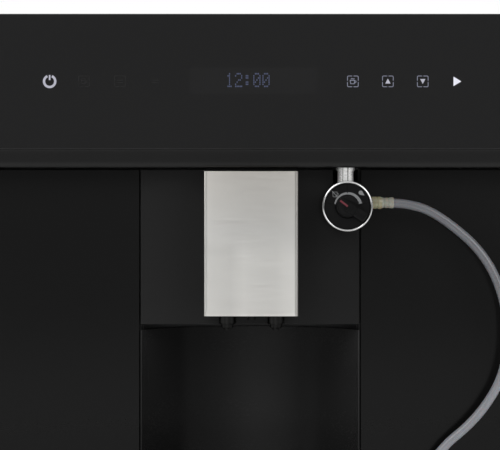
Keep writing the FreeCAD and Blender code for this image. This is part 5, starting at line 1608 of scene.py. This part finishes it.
@dataclass(frozen=True)
class CoffeeSpout:
    """The brushed steel hood, its two coffee nozzles and the hot-water outlet."""

    left_bend: float = 0.0009
    right_bend: float = 0.0018
    top_bend: float = 0.0005
    sheet: float = 0.001
    nozzle_x: tuple[float, float] = (-0.0181, 0.0207)
    nozzle_y: float = -0.195
    outlet_x: float = 0.0012
    left_seam: tuple[float, float] = (0.0020, 0.0007)
    right_seam: tuple[float, float] = (0.0024, 0.0004)

    def build(self) -> None:
        """Builds the hood and the nozzles."""
        self.hood()
        self.nozzles()

    def hood(self) -> None:
        """Folds the hood from sheet, with a shadow line beside each side edge."""
        low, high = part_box("spout_cover")
        hood = Piece.block("spout_hood", low, high)

        def in_front(middle: Vector) -> bool:
            """Tells whether an edge lies on the front face."""
            return middle.y < low.y + NEAR

        def front_corner(side: float) -> Test:
            """Returns a test for the upright front edge at one side."""
            return lambda middle, along: in_front(middle) and abs(middle.x - side) < NEAR and abs(along.z) > 0.9

        hood.bevel(self.left_bend, 4, front_corner(low.x)).bevel(self.right_bend, 4, front_corner(high.x))
        hood.bevel(self.top_bend, 3, lambda middle, along: in_front(middle) and middle.z > high.z - NEAR)
        inner_low = (low.x + self.sheet, low.y + self.sheet, low.z - 0.01)
        inner_high = (high.x - self.sheet, high.y + 0.01, high.z - self.sheet)
        hood.cut(Piece.block("hood_space", inner_low, inner_high))
        seams = []
        for x, width in (
            (low.x + self.left_seam[0], self.left_seam[1]),
            (high.x - self.right_seam[0], self.right_seam[1]),
        ):
            seam_low = (x - width / 2, low.y - 0.001, low.z + 0.0006)
            seam_high = (x + width / 2, low.y + 0.0007, high.z - self.top_bend)
            seams.append(Piece.block("hood_seam", seam_low, seam_high))
        hood.cut(*seams)
        hood.soften(0.0002, 2, 40).smooth(40).dress(Body.SPOUT, SPOUT_STEEL, "spout_cover")

    def nozzles(self) -> None:
        """Turns the nozzles, one pattern for both coffee nozzles and one for the water outlet."""
        low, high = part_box("spout_nozzles")
        tall = high.z - low.z
        outline = [
            (0.0022, tall),
            (0.0071, tall),
            (0.0071, tall - 0.0030),
            (0.0070, tall - 0.0032),
            (0.0070, 0.0058),
            (0.0065, 0.0051),
            (0.0050, 0.0049),
            (0.0047, 0.0022),
            (0.0040, 0.0016),
            (0.0030, 0.0014),
            (0.0027, 0.0),
            (0.0024, 0.0),
            (0.0022, 0.0008),
        ]
        pattern = Piece.turned("coffee_nozzle", outline, sides=48, ring=True)
        pair = pattern.spread("coffee_nozzles", [shift(x, self.nozzle_y, low.z) for x in self.nozzle_x])
        water = [
            (0.0018, tall),
            (0.0047, tall),
            (0.0047, tall - 0.0030),
            (0.0035, tall - 0.0032),
            (0.0035, 0.0092),
            (0.0031, 0.0084),
            (0.0021, 0.0082),
            (0.0018, 0.0088),
        ]
        at = (self.outlet_x, self.nozzle_y, low.z)
        outlet = Piece.turned("hot_water_outlet", water, at, sides=40, ring=True)
        pair.join("spout_nozzle_set", outlet).smooth(35).dress(Body.SPOUT, NOZZLE, "spout_nozzles")


# ---------------------------------------------------------------- milk frother


@dataclass(frozen=True)
class MilkFrother:
    """The round frother head with its chrome ring, printed face, dial and hose connector."""

    middle: tuple[float, float] = (0.0773, 0.3028)
    ring_r: float = 0.0202
    ring_w: float = 0.0019
    hub_r: float = 0.0087
    lever_angle: float = -34.0
    pointer_angle: float = 142.5
    lever_w: float = 0.0076
    dial_back: float = -0.2126
    seam_reach: tuple[float, float] = (0.0104, 0.0176)
    seam_angles: tuple[float, ...] = (90, 170, 10)
    cup_at: tuple[float, float] = (0.0676, 0.3124)
    drop_at: tuple[float, float] = (0.0878, 0.3136)
    drop_r: float = 0.0017
    stem_r: float = 0.0036

    def build(self) -> None:
        """Builds the ring, the face with its print, the dial and the connector."""
        self.ring()
        self.face()
        self.dial()
        self.connector()

    def spot(self, radius: float, angle: float, y: float) -> Vec:
        """Returns the point at a radius and an angle from the head's middle.

        Args:
            radius: metres from the middle.
            angle: degrees from the right, upwards.
            y: depth of the point.

        Returns:
            The point.
        """
        turn = math.radians(angle)
        return (self.middle[0] + radius * math.cos(turn), y, self.middle[1] + radius * math.sin(turn))

    def ring(self) -> None:
        """Turns the chrome ring with a rounded crown."""
        low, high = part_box("frother_ring")
        deep = high.y - low.y
        inner, outer = self.ring_r - self.ring_w, self.ring_r
        outline = [
            (outer, 0.0),
            (outer, deep - 0.0012),
            (outer - 0.0002, deep - 0.0006),
            (outer - 0.0006, deep - 0.0002),
            (outer - 0.0011, deep),
            (inner + 0.0007, deep),
            (inner + 0.0002, deep - 0.0003),
            (inner, deep - 0.0009),
            (inner, 0.0),
        ]
        at = (self.middle[0], high.y, self.middle[1])
        ring = Piece.turned("frother_chrome_ring", outline, at, Facing.FRONT, 96, ring=True)
        ring.smooth(50).dress(Body.MACHINE, CHROME, "frother_ring")

    def face(self) -> None:
        """Turns the face and prints its scale and its two marks."""
        low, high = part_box("frother_face")
        hole, rim = self.stem_r, self.ring_r - self.ring_w - 0.0001
        outline = [
            (rim, 0.0),
            (rim, high.y - low.y - 0.0006),
            (rim - 0.0005, high.y - low.y),
            (self.hub_r + 0.0010, high.y - low.y),
            (self.hub_r + 0.0006, high.y - low.y - 0.0006),
            (hole, high.y - low.y - 0.0006),
            (hole, 0.0),
        ]
        at = (self.middle[0], high.y, self.middle[1])
        plate = Piece.turned("frother_dial_face", outline, at, Facing.FRONT, 96, ring=True)
        plate.smooth(30).dress(Body.MACHINE, FACE, "frother_face")
        y = low.y - INK
        self.swoosh(y)
        for index, angle in enumerate(self.seam_angles):
            ends = [self.spot(radius, angle, y) for radius in self.seam_reach]
            Piece.line(f"face_seam_{index}", ends, 0.0007).dress(Body.MACHINE, SEAM_AND_SHADOW_BLACK)
        self.cup_mark(y)
        self.drop_mark(y)

    def swoosh(self, y: float) -> None:
        """Prints the scale, an arc that widens from the closed to the open end.

        Args:
            y: depth of the print.
        """
        outer, inner, steps = [], [], 36
        for step in range(steps + 1):
            share = step / steps
            angle = 170 - 158 * share
            middle = 0.0100 + 0.0006 * share
            half = 0.0006 + 0.0006 * share
            outer.append(self.spot(middle + half, angle, y))
            inner.append(self.spot(middle - half, angle, y))
        Piece.prism("frother_scale", [*outer, *reversed(inner)], (0, INK, 0)).dress(Body.MACHINE, MARK_GREY)

    def cup_mark(self, y: float) -> None:
        """Prints the crossed-out cup at the closed end.

        Args:
            y: depth of the print.
        """
        x, z = self.cup_at
        cup = [(-2.0, 1.7), (-1.7, -2.1), (1.1, -2.1), (1.6, 1.7)]
        ear = [(1.5, 1.0), (2.4, 0.6), (2.2, -0.8), (1.2, -1.0)]
        bowl = Piece.line("mark_cup", [(x + dx * MM, y, z + dz * MM) for dx, dz in cup], 0.0005, closed=True)
        handle = Piece.line("mark_ear", [(x + dx * MM, y, z + dz * MM) for dx, dz in ear], 0.0004)
        strike = Piece.line("mark_strike", [(x - 0.0026, y, z + 0.0026), (x + 0.0024, y, z - 0.0028)], 0.0005)
        bowl.join("frother_cup_mark", handle, strike).dress(Body.MACHINE, MARK_GREY)

    def drop_mark(self, y: float) -> None:
        """Prints the filled drop at the open end.

        Args:
            y: depth of the print.
        """
        (x, z), radius = self.drop_at, self.drop_r
        outline = [(x + 0.0029, y, z - 0.0022)]
        for step in range(15):
            angle = math.radians(10 + 18 * step)
            outline.append((x + radius * math.cos(angle), y, z + radius * math.sin(angle)))
        Piece.prism("frother_drop_mark", outline, (0, INK, 0)).dress(Body.MACHINE, MARK_GREY)

    def dial(self) -> None:
        """Turns the dial's hub, adds its lever, lays the red pointer on it and a flat black strip of painted shadow
        along the lever's upper edge.
        """
        low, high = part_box("dial_knob")
        x, z = self.middle
        back = self.dial_back
        proud = back - low.y
        outline = [
            (0.0035, back - high.y),
            (0.0035, 0.0),
            (self.hub_r, 0.0),
            (self.hub_r, proud - 0.0007),
            (self.hub_r - 0.0007, proud),
            (self.hub_r - 0.0022, proud),
            (self.hub_r - 0.0030, proud - 0.0003),
        ]
        hub = Piece.turned("dial_hub", outline, (x, back, z), Facing.FRONT, 72)
        with editing(hub.obj):
            pick_faces(hub.obj, lambda at, normal: normal.y < -0.99 and math.dist((at.x, at.z), (x, z)) < 10 * NEAR)
            bpy.ops.mesh.inset(thickness=0.002, depth=0)
        reach = self.ring_r - self.ring_w - 0.0008
        half = self.lever_w / 2
        lever = Piece.block("dial_lever", (0, low.y, -half), (reach, back, half))
        lever.bevel(0.0018, 4, lambda middle, along: abs(along.y) > 0.9 and middle.x > reach - NEAR)
        lever.dish(0.0006, 0.0004, lambda at, normal: normal.y < -0.99)
        lever.soften(0.0003, 2, 40)
        lever.obj.data.transform(shift(x, 0, z) @ Matrix.Rotation(math.radians(-self.lever_angle), 4, "Y"))
        hub.join("frother_dial", lever).smooth(35).dress(Body.DIAL, FACE, "dial_knob")
        ends = [self.spot(radius, self.pointer_angle, low.y - INK) for radius in (0.0, 0.0075)]
        Piece.line("dial_pointer", ends, 0.0016).dress(Body.DIAL, MARK_RED)
        # Painted shadow: a thin black strip laid flat along the lever's upper edge.
        y = low.y - 0.00002
        edge = ((0.0076, 121), (0.0072, 22), (0.0171, -16.5), (0.0172, -20.5))
        shadow_outline = [self.spot(radius, angle, y) for radius, angle in edge]
        Piece.prism("lever_groove", shadow_outline, (0, 0.00004, 0)).dress(Body.DIAL, SEAM_AND_SHADOW_BLACK)

    def connector(self) -> None:
        """Turns the cream hose connector: a barrel with two ribs, a shoulder and a lipped sleeve."""
        low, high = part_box("hose_connector")
        long = high.x - low.x
        outline = [
            (0.0019, 0.0),
            (0.0049, 0.0),
            (0.0049, 0.0098),
            (0.0046, 0.0100),
            (0.0046, 0.0106),
            (0.0049, 0.0108),
            (0.0049, 0.0132),
            (0.0044, 0.0139),
            (0.0042, 0.0146),
            (0.0042, 0.0152),
            (0.0038, 0.0154),
            (0.0038, 0.0162),
            (0.0042, 0.0164),
            (0.0042, 0.0186),
            (0.0038, 0.0188),
            (0.0038, 0.0196),
            (0.0042, 0.0198),
            (0.0044, long - 0.0018),
            (0.0044, long - 0.0004),
            (0.0041, long),
            (0.0037, long),
            (0.0037, 0.0152),
            (0.0019, 0.0152),
        ]
        at = (low.x, (low.y + high.y) / 2, (low.z + high.z) / 2)
        sleeve = Piece.turned("hose_connector_sleeve", outline, at, Facing.RIGHT, 48, ring=True)
        sleeve.smooth(40).dress(Body.MACHINE, CREAM, "hose_connector")


# ---------------------------------------------------------------- covers and small parts


@dataclass(frozen=True)
class Screws:
    """The cross-head screws of the covers and of the hose's parking socket."""

    head_r: float = 0.0034
    head_h: float = 0.0016
    recess: float = 0.0042
    recess_w: float = 0.0009
    rear: tuple[tuple[float, float], ...] = (
        (-0.268, 0.06),
        (-0.268, 0.25),
        (-0.268, 0.43),
        (0.0, 0.03),
        (0.0, 0.43),
        (0.268, 0.06),
        (0.268, 0.25),
        (0.268, 0.43),
    )
    side_y: tuple[float, ...] = (-0.15, 0.02, 0.19)
    side_z: tuple[float, ...] = (0.055, 0.43)
    top: tuple[tuple[float, float], ...] = ((-0.268, -0.15), (0.268, -0.15), (-0.268, 0.19), (0.0, 0.19), (0.268, 0.19))

    def build(self) -> None:
        """Makes one screw and copies it to every cover."""
        _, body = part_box("rear_cover")
        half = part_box("side_covers")[1].x
        shelf = body.z + 0.0015
        places = [shift(x, body.y, z) @ Facing.BACK.value for x, z in self.rear]
        for side, facing in ((half, Facing.RIGHT), (-half, Facing.LEFT)):
            places += [shift(side, y, z) @ facing.value for y in self.side_y for z in self.side_z]
        places += [shift(x, y, shelf) for x, y in self.top]
        pattern = self.screw()
        small = Matrix.Scale(0.55, 4)
        low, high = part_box("park_socket")
        middle = (low.x + high.x) / 2
        plate_y, plate_z = high.y - 0.0025, (low.z + high.z) / 2
        pair = [shift(middle + side, plate_y, plate_z) @ Facing.FRONT.value @ small for side in (-0.0096, 0.0096)]
        pattern.copy("socket_screw", Matrix.Identity(4)).spread("socket_screws", pair).dress(Body.MACHINE, SCREW)
        pattern.spread("cover_screws", places).smooth(40).dress(Body.MACHINE, SCREW)

    def screw(self) -> Piece:
        """Turns a pan head and cuts its cross recess.

        Returns:
            The screw, its head standing up from the origin.
        """
        outline = [
            (self.head_r, -0.0001),
            (self.head_r, self.head_h * 0.4),
            (self.head_r * 0.86, self.head_h * 0.75),
            (self.head_r * 0.6, self.head_h * 0.95),
            (self.head_r * 0.25, self.head_h),
        ]
        head = Piece.turned("screw_pattern", outline, sides=24)
        reach, half = self.recess / 2, self.recess_w / 2
        floor, above = self.head_h * 0.3, self.head_h * 2
        along = Piece.block("recess_x", (-reach, -half, floor), (reach, half, above))
        across = Piece.block("recess_y", (-half, -reach, floor), (half, reach, above))
        return head.cut(along, across)


@dataclass(frozen=True)
class MainsPlate:
    """The mains inlet's metal blades and the rocker's on and off marks."""

    blade_x: tuple[float, ...] = (-0.007, 0.0, 0.007)
    blade_z: tuple[float, ...] = (-0.0015, 0.0025, -0.0015)
    inlet: tuple[float, float] = (0.215, 0.11)
    blade: Vec = (0.0023, 0.0144, 0.0043)
    blade_y: float = 0.1984
    rocker_x: float = 0.168
    off_at: tuple[float, float] = (0.2009, 0.104)
    off_r: float = 0.0021
    on_at: tuple[float, float] = (0.20232, 0.115)
    on_half: float = 0.0023
    lean: float = -18.8

    def build(self) -> None:
        """Adds the blades and prints the marks."""
        wide, long, high = self.blade
        tip = self.blade_y
        blade = Piece.block("inlet_blade", (-wide / 2, tip - long, -high / 2), (wide / 2, tip, high / 2))
        blade.bevel(0.0006, 2, lambda middle, along: middle.y > tip - 0.0004)
        spots = [shift(self.inlet[0] + x, 0, self.inlet[1] + z) for x, z in zip(self.blade_x, self.blade_z)]
        blade.spread("inlet_blades", spots).smooth(40).dress(Body.MACHINE, CHROME)
        turns = [math.radians(10 * step) for step in range(36)]
        (y, z), radius = self.off_at, self.off_r
        ring = [(self.rocker_x + radius * math.cos(a), y, z + radius * math.sin(a)) for a in turns]
        Piece.line("rocker_off_mark", ring, 0.0008, closed=True).dress(Body.ROCKER, PALE_PRINT)
        bar = Piece.line("rocker_on_mark", [(0, 0, -self.on_half), (0, 0, self.on_half)], 0.0009)
        bar.obj.data.transform(shift(self.rocker_x, *self.on_at) @ Matrix.Rotation(math.radians(self.lean), 4, "X"))
        bar.dress(Body.ROCKER, PALE_PRINT)


@dataclass(frozen=True)
class BeanLid:
    """The finger ridges on the hopper's lid."""

    top: float = 0.4479
    middle_x: float = -0.012
    ridge_y: tuple[float, ...] = (-0.1215, -0.1175, -0.1135)

    def build(self) -> None:
        """Moulds one ridge and copies it."""
        ridge = Piece.block("lid_ridge", (-0.02, -0.0007, self.top - 0.0002), (0.02, 0.0007, self.top + 0.0009))
        ridge.bevel(0.0005, 3, lambda middle, along: middle.z > self.top)
        spots = [shift(self.middle_x, y, 0) for y in self.ridge_y]
        ridge.spread("lid_ridges", spots).smooth(40).dress(Body.LID, DARK_GREY)


@dataclass(frozen=True)
class GrindKnob:
    """The grind knob's gripping ribs and pointer, and the scale of dots round it."""

    middle: tuple[float, float] = (-0.16, -0.06)
    radius: float = 0.014
    low: float = 0.4456
    high: float = 0.4490
    ribs: int = 36
    rib_half: float = 0.00045
    scale_r: float = 0.0195
    scale_z: float = 0.445
    dots: int = 7

    def build(self) -> None:
        """Adds the ribs, the pointer and the scale."""
        inner, outer = self.radius - 0.0003, self.radius + 0.0005
        rib = Piece.block("knob_rib", (inner, -self.rib_half, self.low), (outer, self.rib_half, self.high))
        rib.bevel(0.0003, 2, lambda middle, along: abs(along.z) > 0.9 and middle.x > self.radius)
        at = shift(*self.middle)
        turns = [at @ Matrix.Rotation(2 * math.pi * index / self.ribs, 4, "Z") for index in range(self.ribs)]
        rib.spread("knob_ribs", turns).smooth(40).dress(Body.KNOB, DARK_GREY)
        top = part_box("grind_knob")[1].z
        pointer = Piece.block("knob_pointer", (-0.0006, -0.0125, top - 0.0001), (0.0006, -0.006, top + 2 * INK))
        pointer.bevel(0.0004, 3, along_axis("z"))
        pointer.obj.data.transform(at)
        pointer.dress(Body.KNOB, PALE_PRINT)
        plate = self.scale_z
        outline = [(0.001, -0.00005), (0.001, 0.00004), (0.0009, 0.00006)]
        dot = Piece.turned("grind_dot", outline, (0, 0, plate), sides=24)
        spots = []
        for index in range(self.dots):
            angle = math.radians(-90 + 45 * index)
            size = 0.5 + 0.17 * index
            x, y = self.middle[0] + self.scale_r * math.cos(angle), self.middle[1] + self.scale_r * math.sin(angle)
            spots.append(shift(x, y, plate) @ Matrix.Diagonal((size, size, 1, 1)) @ shift(0, 0, -plate))
        dot.spread("grind_scale", spots).dress(Body.MACHINE, HOUSING)


@dataclass(frozen=True)
class TankMarks:
    """The level marks moulded on both sides of the water tank."""

    front_y: float = -0.035
    low: float = 0.075
    pitch: float = 0.02
    count: int = 7

    def build(self) -> None:
        """Makes a short mark and a long one and copies them up both sides."""
        low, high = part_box("water_tank")
        for name, length, rows in (
            ("short", 0.008, range(1, self.count - 1)),
            ("long", 0.018, (0, self.count - 1)),
        ):
            mark = Piece.block(f"{name}_mark", (-0.0002, 0, -0.0005), (0.0002, length, 0.0005))
            mark.bevel(0.00015, 2, along_axis("y"))
            spots = [shift(x, self.front_y, self.low + row * self.pitch) for x in (low.x, high.x) for row in rows]
            mark.spread(f"tank_{name}_marks", spots).smooth(40).dress(Body.TANK, HOUSING)


# ---------------------------------------------------------------- the whole machine


@dataclass(frozen=True)
class CoffeeMachine:
    """All sub-assemblies of the machine that the scene adds to."""

    hose: MilkHose = field(default_factory=MilkHose)
    panel: ControlPanel = field(default_factory=ControlPanel)
    spout: CoffeeSpout = field(default_factory=CoffeeSpout)
    frother: MilkFrother = field(default_factory=MilkFrother)
    screws: Screws = field(default_factory=Screws)
    mains: MainsPlate = field(default_factory=MainsPlate)
    lid: BeanLid = field(default_factory=BeanLid)
    knob: GrindKnob = field(default_factory=GrindKnob)
    tank: TankMarks = field(default_factory=TankMarks)

    def build(self) -> None:
        """Builds every sub-assembly, the hose first."""
        for part in (
            self.hose,
            self.panel,
            self.spout,
            self.frother,
            self.screws,
            self.mains,
            self.lid,
            self.knob,
            self.tank,
        ):
            part.build()
            log.info("%s built", type(part).__name__)


def main() -> None:
    """Builds the scene."""
    logging.basicConfig(level=logging.INFO)
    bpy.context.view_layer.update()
    Studio().build()
    dress_nodes()
    CoffeeMachine().build()


if __name__ == "__main__":
    main()
